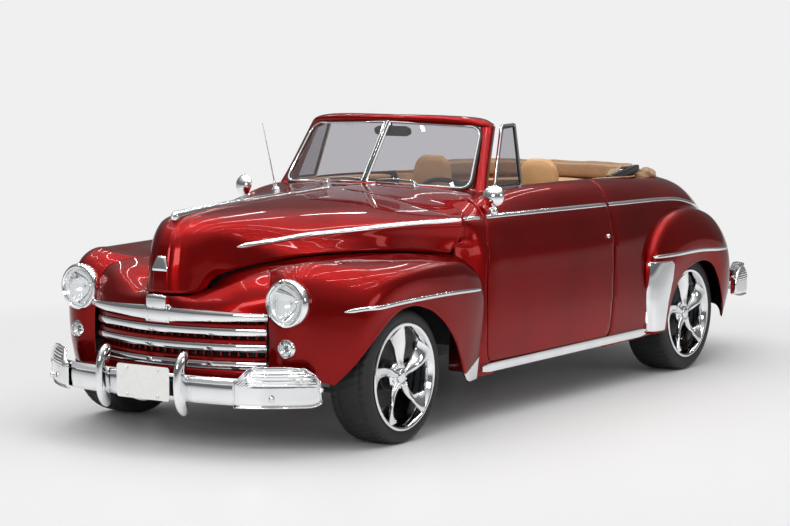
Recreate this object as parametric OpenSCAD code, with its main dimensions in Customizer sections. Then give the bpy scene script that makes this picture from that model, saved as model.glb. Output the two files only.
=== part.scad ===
// Late-1940s full-size convertible, lowered on 18-inch wheels. Front is -Y, left is +X, up is +Z.
// Forms are written from the front axle line rearward, then moved so the origin is mid-length.

/* [Overall] */
// Distance between the axles
wheelbase = 2896; // [2800:1:3000]
// Front bumper to front axle
front_overhang = 864; // [840:1:900]
// Overall length over the bumpers
overall_length = 5034; // [5000:1:5080]

/* [Wheels] */
// Radius of the front tyres
front_tyre_r = 311; // [300:1:318]
// Radius of the rear tyres
rear_tyre_r = 322; // [310:1:326]
// Width of the front tyres
front_tyre_w = 218; // [195:1:225]
// Width of the rear tyres
rear_tyre_w = 240; // [215:1:250]
// Radius over the rim flanges
rim_r = 246; // [240:1:250]
// Outer face of the front rims from the centreline
front_rim_face = 876; // [860:1:880]
// Outer face of the rear rims from the centreline
rear_rim_face = 863; // [850:1:870]
// Spokes in a wheel
spokes = 5; // [5:1:6]

/* [Panels] */
// Thickness of the hood and fender shells
skin_t = 12; // [10:1:14]
// Gap between a moving panel and its neighbour
panel_gap = 8; // [7:1:10]
// Corner radius of the door outline
door_corner = 45; // [20:5:60]
// Slope of the rear edge of the door across its thickness
door_taper = 0.03; // [0.02:0.005:0.05]
// Half width of the deck lid, in columns of the body form
lid_columns = 1.95; // [1.8:0.01:1.98]

/* [Front] */
// Plan radius of the bowed grille and its bars
grille_r = 1000; // [950:10:1100]
// Half angle that the grille spans
grille_angle = 30.2; // [28:0.1:31]
// Vertical ribs behind the grille bars
grille_ribs = 25; // [15:2:35]
// Radius of the headlamp bezel
lamp_r = 111; // [100:1:115]
// Radius of the parking lamp
park_r = 46; // [40:1:50]

/* [Cabin] */
// Height of the cabin floor
floor_z = 366; // [364:1:372]
// Radius of the steering wheel rim
steer_r = 200; // [185:1:210]
// Distance of each seat from the centreline
seat_x = 345; // [335:1:360]

/* [Mounts] */
// Across the four front plate bolts
plate_bolt_x = 177.8; // [150:0.1:200]
// Up the four front plate bolts
plate_bolt_z = 120.65; // [100:0.05:130]
// Radius of the plate bolt holes
plate_bolt_r = 3.5; // [3:0.1:4]

/* [Hidden] */
axle_y = front_overhang - overall_length / 2;
rear_y = wheelbase;
paint = "#8c1016";
chrome = "#d8dbe0";
tan_hide = "#c79c66";
dark = "#1d1d1f";
steel = "#6d7074";

// ---- forms: smooth curves and skins through a few section points ----

// Point at u along a smooth curve through the points p, which sit at u = 0, 1, 2 ...
function bend(p, u) =
    let (n = len(p) - 1, i = max(0, min(floor(u), n - 1)), s = u - i, a = p[i], b = p[i + 1],
         ta = (b - p[max(i - 1, 0)]) / (i == 0 ? 1 : 2),
         tb = (p[min(i + 2, n)] - a) / (i == n - 1 ? 1 : 2))
    a * (2 * s * s * s - 3 * s * s + 1) + ta * (s * s * s - 2 * s * s + s)
    + b * (3 * s * s - 2 * s * s * s) + tb * (s * s * s - s * s);
// Point on the skin through the section rows, u along them and v across
function skin(rows, u, v) = bend([for (r = rows) bend(r, v)], u);
// Section from the centreline outwards, made whole across the car
function flip(p) = [-p[0], p[1], p[2]];
function whole(row) = concat([for (i = [len(row) - 1:-1:1]) flip(row[i])], row);
function whole_all(rows) = [for (r = rows) whole(r)];
// Values from a to b in n steps
function span(a, b, n) = [for (i = [0:n]) a + (b - a) * i / n];
// Points of the skin at the lists of u and v
function net(rows, us, vs) = [for (u = us) [for (v = vs) skin(rows, u, v)]];
function unit(v) = v / norm(v);
function near(m, i, j) = m[max(0, min(len(m) - 1, i))][max(0, min(len(m[0]) - 1, j))];
// Outward direction at a point of a net: along the row crossed with along the car
function out(m, i, j) =
    unit(cross(near(m, i, j + 1) - near(m, i, j - 1), near(m, i + 1, j) - near(m, i - 1, j)));
// The net moved inwards by t
function inset(m, t) = [for (i = [0:len(m) - 1]) [for (j = [0:len(m[0]) - 1]) m[i][j] - t * out(m, i, j)]];

// Closed panel between an outer net and an inner net of the same size
module panel(a, b) {
    r = len(a);
    c = len(a[0]);
    n = r * c;
    pts = concat([for (row = a) each row], [for (row = b) each row]);
    top = [for (i = [0:r - 2]) for (j = [0:c - 2]) let (k = i * c + j)
        each [[k, k + c, k + c + 1], [k, k + c + 1, k + 1]]];
    bottom = [for (f = top) [f[2] + n, f[1] + n, f[0] + n]];
    side_a = [for (j = [0:c - 2]) let (k = j)
        each [[k, k + 1, k + 1 + n], [k, k + 1 + n, k + n]]];
    side_b = [for (j = [0:c - 2]) let (k = (r - 1) * c + j)
        each [[k + 1, k, k + n], [k + 1, k + n, k + 1 + n]]];
    side_c = [for (i = [0:r - 2]) let (k = i * c)
        each [[k + c, k, k + n], [k + c, k + n, k + c + n]]];
    side_d = [for (i = [0:r - 2]) let (k = i * c + c - 1)
        each [[k, k + c, k + c + n], [k, k + c + n, k + n]]];
    polyhedron(pts, concat(top, bottom, side_a, side_b, side_c, side_d), convexity = 10);
}
// Panel of thickness t over part of a skin
module shell(rows, us, vs, t) {
    m = net(rows, us, vs);
    panel(m, inset(m, t));
}
// One mesh of what is cut from or joined to a shell
module meshed() resize([0, 0, 0]) children();
module car() translate([0, axle_y, 0]) children();
module both_sides() {
    children();
    mirror([1, 0, 0]) children();
}
// Outline drawn in the side view (y, z), as a solid from x = a to x = b
module side_view(a, b) translate([a, 0, 0]) rotate([90, 0, 90]) linear_extrude(b - a) children();
// Outline drawn in the plan view, as a solid from z = a to z = b
module plan_view(a, b) translate([0, 0, a]) linear_extrude(b - a) children();
module bar_x(r, a, b) translate([a, 0, 0]) rotate([0, 90, 0]) cylinder(r = r, h = b - a, $fn = 48);

// ---- section rows, from the front of each form to its rear, centre outwards ----

hood_rows = whole_all([
    [[0, -690, 712], [62, -684, 712], [112, -648, 711], [142, -600, 711], [150, -580, 712], [155, -562, 714]],
    [[0, -684, 780], [62, -676, 780], [118, -630, 780], [158, -570, 780], [171, -541, 778], [182, -512, 776]],
    [[0, -672, 850], [64, -662, 850], [125, -612, 848], [185, -520, 845], [209, -487, 828], [232, -458, 806]],
    [[0, -652, 925], [66, -640, 925], [135, -578, 922], [215, -462, 908], [257, -415, 873], [300, -372, 830]],
    [[0, -606, 992], [72, -590, 992], [155, -515, 980], [255, -390, 936], [314, -330, 896], [376, -270, 852]],
    [[0, -520, 1036], [85, -500, 1033], [190, -420, 1010], [315, -270, 948], [383, -204, 908], [452, -140, 866]],
    [[0, -350, 1060], [110, -325, 1052], [245, -240, 1024], [392, -130, 956], [451, -71, 914], [505, -10, 869]],
    [[0, -60, 1078], [150, -30, 1069], [330, 40, 1037], [490, 110, 972], [538, 149, 921], [576, 190, 864]],
    [[0, 290, 1094], [210, 300, 1079], [430, 340, 1038], [622, 370, 982], [640, 383, 920], [642, 400, 850]],
    [[0, 655, 1110], [280, 655, 1086], [540, 655, 1036], [768, 655, 982], [767, 647, 898], [744, 560, 838]]]);

body_half = [
    [[0, 655, 1110], [280, 655, 1086], [540, 655, 1036], [682, 655, 1004], [768, 655, 979],
        [769, 665, 893], [753, 592, 831], [846, 640, 500], [850, 655, 228]],
    [[0, 760, 1114], [280, 760, 1096], [537, 760, 1055], [681, 760, 1026], [775, 760, 977],
        [813, 760, 891], [842, 760, 776], [862, 760, 500], [856, 760, 228]],
    [[0, 1000, 1124], [280, 1000, 1118], [530, 1000, 1098], [682, 1000, 1076], [785, 1000, 974],
        [823, 1000, 881], [850, 1000, 768], [866, 1000, 500], [858, 1000, 228]],
    [[0, 1500, 1130], [280, 1500, 1126], [530, 1500, 1118], [692, 1500, 1100], [790, 1500, 968],
        [826, 1500, 873], [852, 1500, 762], [868, 1500, 500], [860, 1500, 230]],
    [[0, 2100, 1128], [280, 2100, 1124], [530, 2100, 1114], [690, 2100, 1095], [789, 2100, 972],
        [825, 2100, 876], [850, 2100, 762], [866, 2100, 500], [858, 2100, 236]],
    [[0, 2600, 1122], [270, 2600, 1118], [520, 2600, 1105], [678, 2600, 1078], [782, 2600, 975],
        [814, 2600, 880], [836, 2600, 765], [852, 2600, 500], [846, 2600, 250]],
    [[0, 3060, 1112], [260, 3060, 1106], [490, 3058, 1086], [648, 3050, 1048], [765, 3040, 965],
        [789, 3034, 876], [800, 3030, 765], [816, 3030, 500], [810, 3030, 275]],
    [[0, 3350, 1075], [255, 3345, 1067], [485, 3322, 1037], [628, 3295, 985], [728, 3255, 888],
        [752, 3241, 802], [766, 3230, 700], [780, 3220, 480], [776, 3210, 290]],
    [[0, 3620, 985], [255, 3610, 974], [485, 3566, 932], [605, 3520, 870], [692, 3440, 780],
        [717, 3416, 706], [732, 3400, 620], [746, 3380, 440], [745, 3370, 300]],
    [[0, 3830, 835], [255, 3815, 824], [480, 3757, 782], [588, 3690, 722], [666, 3600, 650],
        [688, 3566, 593], [701, 3540, 530], [712, 3510, 410], [712, 3500, 320]],
    [[0, 3950, 660], [250, 3930, 650], [475, 3864, 620], [577, 3790, 580], [646, 3700, 530],
        [667, 3656, 496], [681, 3620, 460], [690, 3590, 390], [690, 3580, 335]],
    [[0, 3990, 520], [245, 3970, 515], [470, 3902, 495], [566, 3825, 470], [633, 3740, 440],
        [653, 3696, 423], [666, 3660, 405], [676, 3640, 370], [677, 3630, 340]],
    [[0, 3985, 400], [245, 3965, 398], [465, 3897, 392], [561, 3822, 385], [626, 3740, 375],
        [647, 3700, 368], [660, 3668, 362], [668, 3650, 352], [670, 3645, 345]]];
// How far the inner face of the cabin wall lies from its outer face, centre outwards
wall = [[0, 0, 22], [0, 0, 22], [25, 0, 34], [62, 0, 48], [76, 0, 16], [82, 0, 4], [84, 0, 0], [86, 0, 0],
    [80, 0, 0]];
last = len(wall) - 1;
lining_half = [for (r = body_half) [for (j = [0:last]) r[j] - wall[j]]];

front_fender_rows = [
    [[505, -548, 322], [590, -556, 324], [680, -500, 325], [738, -440, 322], [766, -402, 310]],
    [[512, -550, 420], [600, -562, 420], [695, -508, 420], [790, -410, 415], [806, -368, 358]],
    [[514, -550, 520], [602, -562, 520], [703, -510, 520], [826, -380, 490], [842, -338, 408]],
    [[508, -550, 615], [600, -558, 615], [704, -508, 615], [850, -352, 565], [868, -308, 456]],
    [[503, -537, 705], [600, -545, 705], [695, -498, 705], [866, -320, 640], [884, -270, 500]],
    [[478, -487, 783], [580, -498, 797], [682, -455, 800], [877, -250, 705], [892, -222, 540]],
    [[405, -412, 818], [540, -420, 838], [668, -378, 846], [885, -165, 745], [897, -150, 590]],
    [[322, -338, 822], [500, -320, 834], [662, -270, 850], [892, -65, 765], [900, -60, 628]],
    [[425, -190, 848], [555, -150, 846], [675, -110, 852], [898, 50, 762], [902, 40, 636]],
    [[525, 60, 854], [620, 70, 850], [705, 70, 850], [903, 175, 740], [904, 140, 614]],
    [[580, 210, 850], [668, 220, 848], [738, 230, 847], [906, 300, 700], [905, 225, 578]],
    [[618, 345, 842], [705, 350, 836], [768, 360, 822], [907, 400, 640], [904, 318, 512]],
    [[694, 490, 832], [760, 490, 815], [812, 490, 788], [907, 480, 560], [902, 395, 430]],
    [[738, 562, 826], [800, 572, 792], [842, 580, 752], [906, 575, 500], [898, 445, 345]],
    [[762, 606, 815], [810, 640, 782], [846, 656, 735], [900, 668, 470], [892, 505, 236]],
    [[766, 616, 812], [806, 662, 770], [840, 688, 706], [868, 706, 490], [864, 636, 222]]];

rear_fender_rows = [
    [[810, 2390, 255], [886, 2412, 255], [906, 2470, 258], [906, 2545, 262]],
    [[812, 2377, 450], [893, 2402, 450], [918, 2480, 450], [908, 2604, 420]],
    [[806, 2397, 660], [892, 2430, 680], [926, 2560, 620], [911, 2705, 541]],
    [[792, 2502, 800], [880, 2545, 812], [929, 2690, 705], [913, 2830, 598]],
    [[772, 2672, 880], [868, 2715, 884], [931, 2850, 742], [914, 2965, 618]],
    [[752, 2870, 905], [858, 2900, 903], [930, 2990, 745], [914, 3080, 592]],
    [[732, 3060, 888], [845, 3085, 884], [925, 3130, 720], [912, 3162, 520]],
    [[705, 3240, 838], [825, 3265, 834], [912, 3270, 660], [908, 3222, 425]],
    [[672, 3410, 752], [790, 3435, 742], [885, 3375, 580], [900, 3264, 340]],
    [[636, 3560, 610], [745, 3565, 600], [850, 3445, 450], [888, 3292, 290]],
    [[615, 3630, 420], [705, 3620, 405], [805, 3490, 340], [872, 3315, 262]],
    [[610, 3625, 300], [690, 3595, 295], [770, 3495, 278], [862, 3330, 258]]];

ledge_rows = whole_all([
    [[0, -692, 640], [90, -688, 640], [200, -672, 636], [310, -645, 631], [415, -602, 624], [499, -558, 615]],
    [[0, -688, 670], [90, -680, 670], [195, -655, 676], [305, -625, 684], [408, -588, 690], [495, -542, 702]],
    [[0, -682, 688], [85, -672, 688], [170, -634, 694], [270, -592, 730], [376, -550, 762], [470, -492, 780]],
    [[0, -676, 695], [68, -666, 695], [134, -622, 697], [198, -552, 728], [295, -494, 784], [398, -415, 812]],
    [[0, -664, 697], [55, -654, 697], [104, -616, 693], [140, -553, 698], [212, -464, 778], [313, -345, 814]]]);

// ---- body panels ----

// Door outline in the side view, grown all round by g
module door_shape(g) {
    front_z = [290, 400, 600, 820, 957, 1200];
    front_y = [757, 745, 750, 784, 838, 935];
    front = [for (k = span(0, 5, 15)) [bend(front_y, k), bend(front_z, k)]];
    offset(delta = g) offset(r = door_corner, $fn = 32) offset(delta = -door_corner)
        polygon(concat(front, [[2092, 1200], [2068, 1000], [1968, 290]]));
}
module door_cut(g) side_view(650 - g, 980) door_shape(g);
// The door outline, a little shorter towards its inner face at the rear so that it swings clear
module door_space() intersection() {
    door_cut(0);
    multmatrix([[1, 0, 0, 0], [door_taper, 1, 0, -850 * door_taper], [0, 0, 1, 0]]) door_cut(0);
}
// Plan outline of the open cabin
module cockpit_shape() {
    half = [for (k = span(0, 5, 20)) bend([[648, 900], [650, 1600], [640, 2300], [585, 2760],
        [400, 2990], [0, 3040]], k)];
    polygon(concat(half, [for (k = [len(half) - 1:-1:0]) [-half[k][0], half[k][1]]]));
}
module cockpit_cut() plan_view(960, 1300) cockpit_shape();
// Space swept by a wheel and its tyre, with room round it
module wheel_space(y, r, a, b) translate([0, y, rear_tyre_r]) bar_x(r, a, b);

module cowl() color(paint) car() meshed() difference() {
    rows = whole_all(body_half);
    m = net(rows, span(0.05, 2.28, 6), concat([0, 0.4], span(1, 15, 20), [15.6, 16]));
    panel(m, inset(m, 15));
    both_sides() door_cut(panel_gap);
    plan_view(960, 1300) polygon([[-592, 1062], [-556, 1024], [0, 918], [556, 1024], [592, 1062],
        [600, 1300], [-600, 1300]]);
    both_sides() translate([500, 800, 0]) cube([500, 400, 290]);
}

module quarter() meshed() {
    difference() {
        union() {
            vs = concat([lid_columns + 0.02], span(2.6, 7, 9), [7.6, 8]);
            us = span(3.85, 5.98, 6);
            panel(net(body_half, us, vs), net(lining_half, us, vs));
            shell(body_half, span(5.98, 12, 12), concat(span(lid_columns + 0.02, 7, 7), [8]), 20);
        }
        door_cut(panel_gap);
        cockpit_cut();
        wheel_space(rear_y, rear_tyre_r + 36, 600, 1000);
        lid_cut();
    }
    // sill under the door
    side_view(776, 858) polygon([[808, 228], [808, 280], [2120, 280], [2120, 232]]);
}
module quarter_left() color(paint) car() quarter();
module quarter_right() color(paint) car() mirror([1, 0, 0]) quarter();

// Room for the deck lid, through the body form
module lid_cut() {
    rows = whole_all(body_half);
    v = lid_columns + 0.045;
    m = net(rows, span(6.13, 11.05, 12), span(last - v, last + v, 8));
    panel(inset(m, -30), inset(m, 60));
}
module tail_panel() color(paint) car() meshed() {
    rows = whole_all(body_half);
    v = lid_columns + 0.02;
    vs = span(last - v, last + v, 8);
    shell(rows, span(11.05, 12, 4), vs, 20);
    difference() {
        shell(rows, span(5.6, 6.125, 4), vs, 20);
        cockpit_cut();
    }
}
module deck_lid() color(paint) car() {
    rows = whole_all(body_half);
    shell(rows, span(6.165, 10.975, 12), span(last - lid_columns, last + lid_columns, 10), 22);
}
module hood() color(paint) car()
    shell(hood_rows, concat(span(0, 5, 9), span(5.7, 8.97, 5)), span(0, 10, 20), skin_t);

module door() meshed() difference() {
    us = span(1, 4.2, 8);
    vs = concat([2.72, 3, 3.3, 3.65], span(4, 7, 6), [7.6, 8]);
    panel(net(body_half, us, vs), net(lining_half, us, vs));
    difference() {
        translate([300, 0, -100]) cube([800, 3000, 2000]);
        door_space();
    }
}
// Corners of the vent window: foot front, foot rear, top rear, top front
vent = [[652, 1132, 1106], [652, 1398, 1106], [578, 1446, 1418], [578, 1322, 1414]];
module vent_rod(a, b, r) hull() {
    translate(a) sphere(r = r, $fn = 16);
    translate(b) sphere(r = r, $fn = 16);
}
module vent_window() {
    for (k = [0:3]) vent_rod(vent[k], vent[(k + 1) % 4], 9);
    hull() for (p = vent) translate(p) sphere(r = 3, $fn = 8);
}
module door_mirror() {
    vent_rod([738, 930, 1030], [766, 926, 1066], 9);
    translate([774, 918, 1086]) rotate([80, 0, 12]) cylinder(r1 = 30, r2 = 56, h = 34, center = true, $fn = 36);
}
module door_left() color(paint) car() meshed() {
    door();
    vent_window();
    door_mirror();
}
module door_right() color(paint) car() mirror([1, 0, 0]) meshed() {
    door();
    vent_window();
    door_mirror();
}

// ---- fenders and nose ----

module front_fender() meshed() difference() {
    shell(front_fender_rows, span(0, 15, 20), span(0, 4, 8), skin_t);
    translate([608, -640, 679]) rotate([-90, 0, 0]) cylinder(r = lamp_r - 9, h = 260, $fn = 36);
    translate([611, -640, 480]) rotate([-90, 0, 0]) cylinder(r = park_r - 10, h = 160, $fn = 36);
}
module front_fender_left() color(paint) car() front_fender();
module front_fender_right() color(paint) car() mirror([1, 0, 0]) front_fender();

module rear_fender() shell(rear_fender_rows, span(0, 11, 16), span(0, 3, 8), skin_t);
module rear_fender_left() color(paint) car() rear_fender();
module rear_fender_right() color(paint) car() mirror([1, 0, 0]) rear_fender();

module grille_sweep(r, a) translate([0, grille_r - 690, 0]) rotate([0, 0, -90])
    rotate([0, 0, -a]) rotate_extrude(angle = 2 * a, $fn = 180) translate([grille_r, 0]) children();

module nose_panel() color(paint) car() {
    meshed() shell(ledge_rows, span(0, 4, 6), span(0, 10, 18), 8);
    grille_sweep(grille_r, grille_angle + 1.2) translate([-22, 322]) square([20, 48]);
}
module grille() color(paint) car() {
    grille_sweep(grille_r, grille_angle) translate([-62, 600]) square([26, 22]);
    grille_sweep(grille_r, grille_angle) translate([-62, 376]) square([26, 14]);
    for (k = [0:grille_ribs - 1])
        translate([0, grille_r - 690, 0])
            rotate([0, 0, -90 + grille_angle * (2 * k / (grille_ribs - 1) - 1) * 0.985])
                translate([grille_r - 59, -4, 380]) cube([20, 8, 238]);
}
// Section of one grille bar: a rounded blade, h tall
module bar_section(h) intersection() {
    translate([-1.1 * h, -h / 2]) square([2 * h, h]);
    translate([-h * 0.35, 0]) circle(r = h * 0.62, $fn = 48);
}
module grille_bars() color(chrome) car() {
    grille_sweep(grille_r, grille_angle) translate([0, 615]) bar_section(66);
    for (z = [541, 470, 391]) grille_sweep(grille_r, grille_angle) translate([-16, z]) bar_section(34);
    // centre block over the top bar
    front_block = [[-60, 640], [60, 640], [44, 702], [-44, 702]];
    translate([0, -674, 0]) rotate([90, 0, 0]) linear_extrude(34) polygon(front_block);
}
module front_lamps() color(chrome) car() both_sides() {
    translate([608, -549, 679]) rotate([-90, 0, 0]) {
        rotate_extrude($fn = 64) polygon([[0, -14], [60, -12], [88, -6], [98, 0], [lamp_r - 4, 2],
            [lamp_r, 10], [lamp_r, 24], [lamp_r - 12, 28], [lamp_r - 12, 60], [60, 110], [0, 118]]);
    }
    translate([611, -552, 480]) rotate([-90, 0, 0]) {
        rotate_extrude($fn = 48) polygon([[0, -20], [20, -18], [34, -8], [park_r, -2],
            [park_r, 8], [park_r - 12, 12], [park_r - 12, 50], [0, 54]]);
    }
}

// ---- underbody ----

module chassis_frame() color(dark) car() {
    both_sides() side_view(340, 392) offset(r = 12, $fn = 24) offset(delta = -12)
        polygon([[-580, 250], [-580, 350], [2520, 350], [2740, 520], [3120, 520], [3330, 440],
            [3860, 440], [3860, 350], [3350, 350], [3060, 412], [2790, 412], [2600, 250]]);
    for (y = [-560, 700, 1500, 2300]) difference() {
        translate([-345, y, 262]) cube([690, 70, 76]);
        translate([-60, y - 1, y > 0 ? 286 : 400]) cube([120, 72, 60]);
    }
    translate([-345, 3740, 362]) cube([690, 60, 66]);
}
module floor_pan() color(dark) car() meshed() {
    difference() {
        plan_view(floor_z, floor_z + 14) polygon([[-660, 690], [660, 690], [735, 780], [735, 2520],
            [-735, 2520], [-735, 780], [-660, 690]]);
        side_view(-120, 120) polygon([[600, 300], [600, 420], [1100, 400], [1100, 300]]);
    }
    // toe board
    side_view(-640, 640) polygon([[678, 694], [686, 702], [940, 382], [930, 374]]);
    // tunnel
    side_view(-130, 130) polygon([[700, 380], [700, 520], [1000, 464], [2190, 440], [2190, 380]]);
    // step up to the rear seat and the trunk floor
    side_view(-560, 560) polygon([[2508, 366], [2508, 545], [3740, 545], [3740, 531], [2522, 531], [2522, 366]]);
}
module engine_bay() color(dark) car() {
    // firewall
    translate([0, 676, 0]) rotate([90, 0, 0]) linear_extrude(6) polygon([[-690, 380], [690, 380],
        [690, 940], [520, 1000], [0, 1080], [-520, 1000], [-690, 940]]);
    // aprons and radiator
    both_sides() side_view(452, 458) polygon([[-430, 352], [-430, 770], [200, 815], [670, 800], [670, 352]]);
    translate([-330, -520, 338]) cube([660, 70, 380]);
}
module engine() color(steel) car() translate([-250, -300, 352]) cube([500, 640, 480]);
module driveline() color(steel) car() {
    translate([-120, 340, 300]) cube([240, 310, 160]);
    translate([0, 650, 326]) rotate([-90, 0, 0]) cylinder(r = 34, h = 2118, $fn = 36);
}
module exhaust() color(steel) car() both_sides() {
    translate([230, 150, 232]) rotate([-90, 0, 0]) cylinder(r = 26, h = 3620, $fn = 32);
    translate([230, 150, 232]) cylinder(r = 26, h = 120, $fn = 32);
    translate([230, 1640, 232]) rotate([-90, 0, 0]) cylinder(r = 62, h = 480, $fn = 40);
}
module fuel_tank() color(steel) car() translate([-300, 3340, 300]) cube([600, 380, 180]);
module rear_axle() color(steel) car() translate([0, rear_y, rear_tyre_r]) {
    bar_x(38, -690, 690);
    rotate_extrude($fn = 48) difference() {
        circle(r = 125, $fn = 48);
        translate([-200, -200]) square([200, 400]);
    }
    both_sides() bar_x(24.5, 690, 803);
}
module front_suspension() color(steel) car() {
    translate([-340, -60, 215]) cube([680, 120, 60]);
    both_sides() {
        side_view(392, 640) polygon([[-20, 203], [-20, 219], [20, 219], [20, 203]]);
        side_view(392, 640) polygon([[-20, 397], [-20, 411], [20, 411], [20, 397]]);
    }
}
// Point of a bar bent through the points p, centre outwards, t behind its face; k < 0 is the right side
function bar_pt(p, k, t) =
    let (n = len(p) - 1, a = abs(k), d = unit(bend(p, min(n, a + 0.05)) - bend(p, max(0, a - 0.05))),
         q = bend(p, a) + t * [-d[1], d[0]])
    [k < 0 ? -q[0] : (k > 0 ? q[0] : 0), q[1]];
module bent_bar(p, t, a, b) {
    n = len(p) - 1;
    plan_view(a, b) polygon(concat([for (k = span(-n, n, 26)) bar_pt(p, k, 0)],
        [for (k = span(n, -n, 26)) bar_pt(p, k, t)]));
}
front_bar = [[0, -806], [230, -804], [420, -795], [550, -758], [650, -680], [730, -595], [786, -530]];
rear_bar = [[0, -4136], [230, -4132], [430, -4108], [570, -4066], [670, -4006], [733, -3925],
    [757, -3820], [762, -3700]];
// Upright guards with round ends, d in radius
module guard_pair(x, y, low, high, d) both_sides() side_view(x - 22, x + 22) {
    translate([y, low + d]) circle(r = d, $fn = 48);
    translate([y, high - d]) circle(r = d, $fn = 48);
    translate([y - d, low + d]) square([d + 40, high - low - 2 * d]);
}
module front_bumper() color(chrome) car() {
    bent_bar(front_bar, 26, 240, 360);
    guard_pair(227, 29 - front_overhang, 180, 461, 29);
    both_sides() {
        translate([348, -786, 258]) cube([44, 220, 58]);
        // raised corner guard
        intersection() {
            bent_bar(front_bar, 26, 350, 425);
            side_view(540, 800) polygon([[-800, 300], [-772, 385], [-740, 424], [-650, 424], [-590, 404],
                [-545, 366], [-530, 300]]);
        }
    }
    // licence plate bracket
    difference() {
        translate([-152.5, -836, 240]) cube([305, 10, 152]);
        for (x = [-1, 1]) for (z = [-1, 1])
            translate([x * plate_bolt_x / 2, -850, 316 + z * plate_bolt_z / 2]) rotate([-90, 0, 0])
                cylinder(r = plate_bolt_r, h = 40, $fn = 32);
    }
    both_sides() translate([40, -830, 290]) cube([30, 40, 40]);
}
module rear_bumper() color(chrome) car() {
    mirror([0, 1, 0]) {
        bent_bar(rear_bar, 26, 340, 460);
        guard_pair(240, front_overhang - overall_length + 27, 300, 520, 27);
        both_sides() intersection() {
            bent_bar(rear_bar, 26, 450, 518);
            side_view(540, 800) polygon([[-4120, 400], [-4060, 480], [-3700, 516], [-3650, 400]]);
        }
    }
    both_sides() translate([348, 3850, 352]) cube([44, 270, 40]);
}
module tail_lamps() color("#a01010") car() both_sides()
    translate([590, 3692, 716]) rotate([-52, 0, -32]) hull() for (s = [-1, 1])
        translate([s * 38, 0, -16]) cylinder(r = 30, h = 34, $fn = 28);

// ---- cabin ----

// Header of the windscreen, centre outwards, and how far it reaches back from each point
header = [[0, 1160, 1446], [300, 1190, 1444], [484, 1232, 1432], [546, 1264, 1404]];
header_back = [26, 34, 50, 36];
module windscreen_frame() color(paint) car() meshed() both_sides() {
    // post
    hull() {
        translate([588, 1046, 1084]) cylinder(r = 14, h = 6, $fn = 16);
        translate([620, 1064, 1080]) cylinder(r = 16, h = 6, $fn = 16);
        translate([602, 1120, 1082]) cylinder(r = 14, h = 6, $fn = 16);
        translate([516, 1240, 1414]) cylinder(r = 14, h = 6, $fn = 16);
        translate([548, 1262, 1408]) cylinder(r = 18, h = 6, $fn = 16);
        translate([548, 1292, 1408]) cylinder(r = 14, h = 6, $fn = 16);
    }
    for (k = [0:2]) hull() for (i = [k, k + 1]) {
        translate(header[i]) sphere(r = 22, $fn = 8);
        translate(header[i] + [0, header_back[i], 0]) sphere(r = 20, $fn = 8);
    }
    // sill
    hull() {
        translate([0, 934, 1110]) cylinder(r = 18, h = 12, $fn = 16);
        translate([584, 1048, 1086]) cylinder(r = 18, h = 12, $fn = 16);
    }
    // centre bar
    hull() {
        translate([0, 930, 1110]) cylinder(r = 8, h = 12, $fn = 16);
        translate([0, 1146, 1430]) cylinder(r = 8, h = 12, $fn = 16);
    }
}
module windscreen_glass() color("#9fb0b8") car() both_sides()
    panel([[[8, 924, 1118], [580, 1030, 1100]], [[8, 1146, 1430], [520, 1222, 1410]]],
        [[[8, 930, 1118], [580, 1036, 1100]], [[8, 1152, 1430], [520, 1228, 1410]]]);
module dashboard() color(paint) car() {
    // shelf behind the windscreen and the panel below it
    plan_view(1064, 1076) polygon([[0, 905], [530, 1005], [600, 1040], [600, 1098], [-600, 1098],
        [-600, 1040], [-530, 1005]]);
    side_view(-600, 600) polygon([[1060, 1070], [1098, 1076], [1118, 1058], [1112, 960], [1095, 945],
        [1082, 955], [1088, 1050], [1060, 1056]]);
}
module seat_back(w) hull() {
    for (s = [-1, 1]) {
        translate([s * (w / 2 - 50), 1950, 560]) sphere(r = 50, $fn = 14);
        translate([s * 72, 2104, 1160]) sphere(r = 46, $fn = 14);
    }
}
module seat_cushion(w) hull() for (s = [-1, 1]) {
    translate([s * (w / 2 - 60), 1400, 540]) sphere(r = 60, $fn = 14);
    translate([s * (w / 2 - 60), 1850, 520]) sphere(r = 60, $fn = 14);
    translate([s * (w / 2 - 60), 1400, 466]) cylinder(r = 60, h = 20, $fn = 16);
    translate([s * (w / 2 - 60), 1850, 466]) cylinder(r = 60, h = 20, $fn = 16);
}
module front_seats() color(tan_hide) car() meshed() for (s = [-1, 1]) translate([s * seat_x, 0, 0]) {
    seat_back(520);
    seat_cushion(500);
    translate([-190, 1400, floor_z + 14]) cube([380, 420, 90]);
}
module rear_seat() color(tan_hide) car() {
    translate([-540, 2200, floor_z + 14]) cube([1080, 306, 260]);
    translate([-560, 2560, 545]) cube([1120, 130, 495]);
}
module folded_top() color(tan_hide) car() plan_view(1050, 1150) difference() {
    offset(delta = -12) cockpit_shape();
    offset(delta = -110) cockpit_shape();
    translate([-800, 800]) square([1600, 1600]);
}
module steering_wheel() color(dark) car() translate([360, 1220, 985]) rotate([-52, 0, 0]) {
    rotate_extrude($fn = 72) translate([steer_r, 0]) circle(r = 13, $fn = 24);
    cylinder(r = 45, h = 40, center = true, $fn = 48);
    for (k = [0:2]) rotate([0, 0, 90 + 120 * k]) translate([0, -14, -6]) cube([steer_r, 28, 10]);
    translate([0, 0, -584]) cylinder(r = 18, h = 584, $fn = 36);
}

// ---- wheels ----

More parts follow.
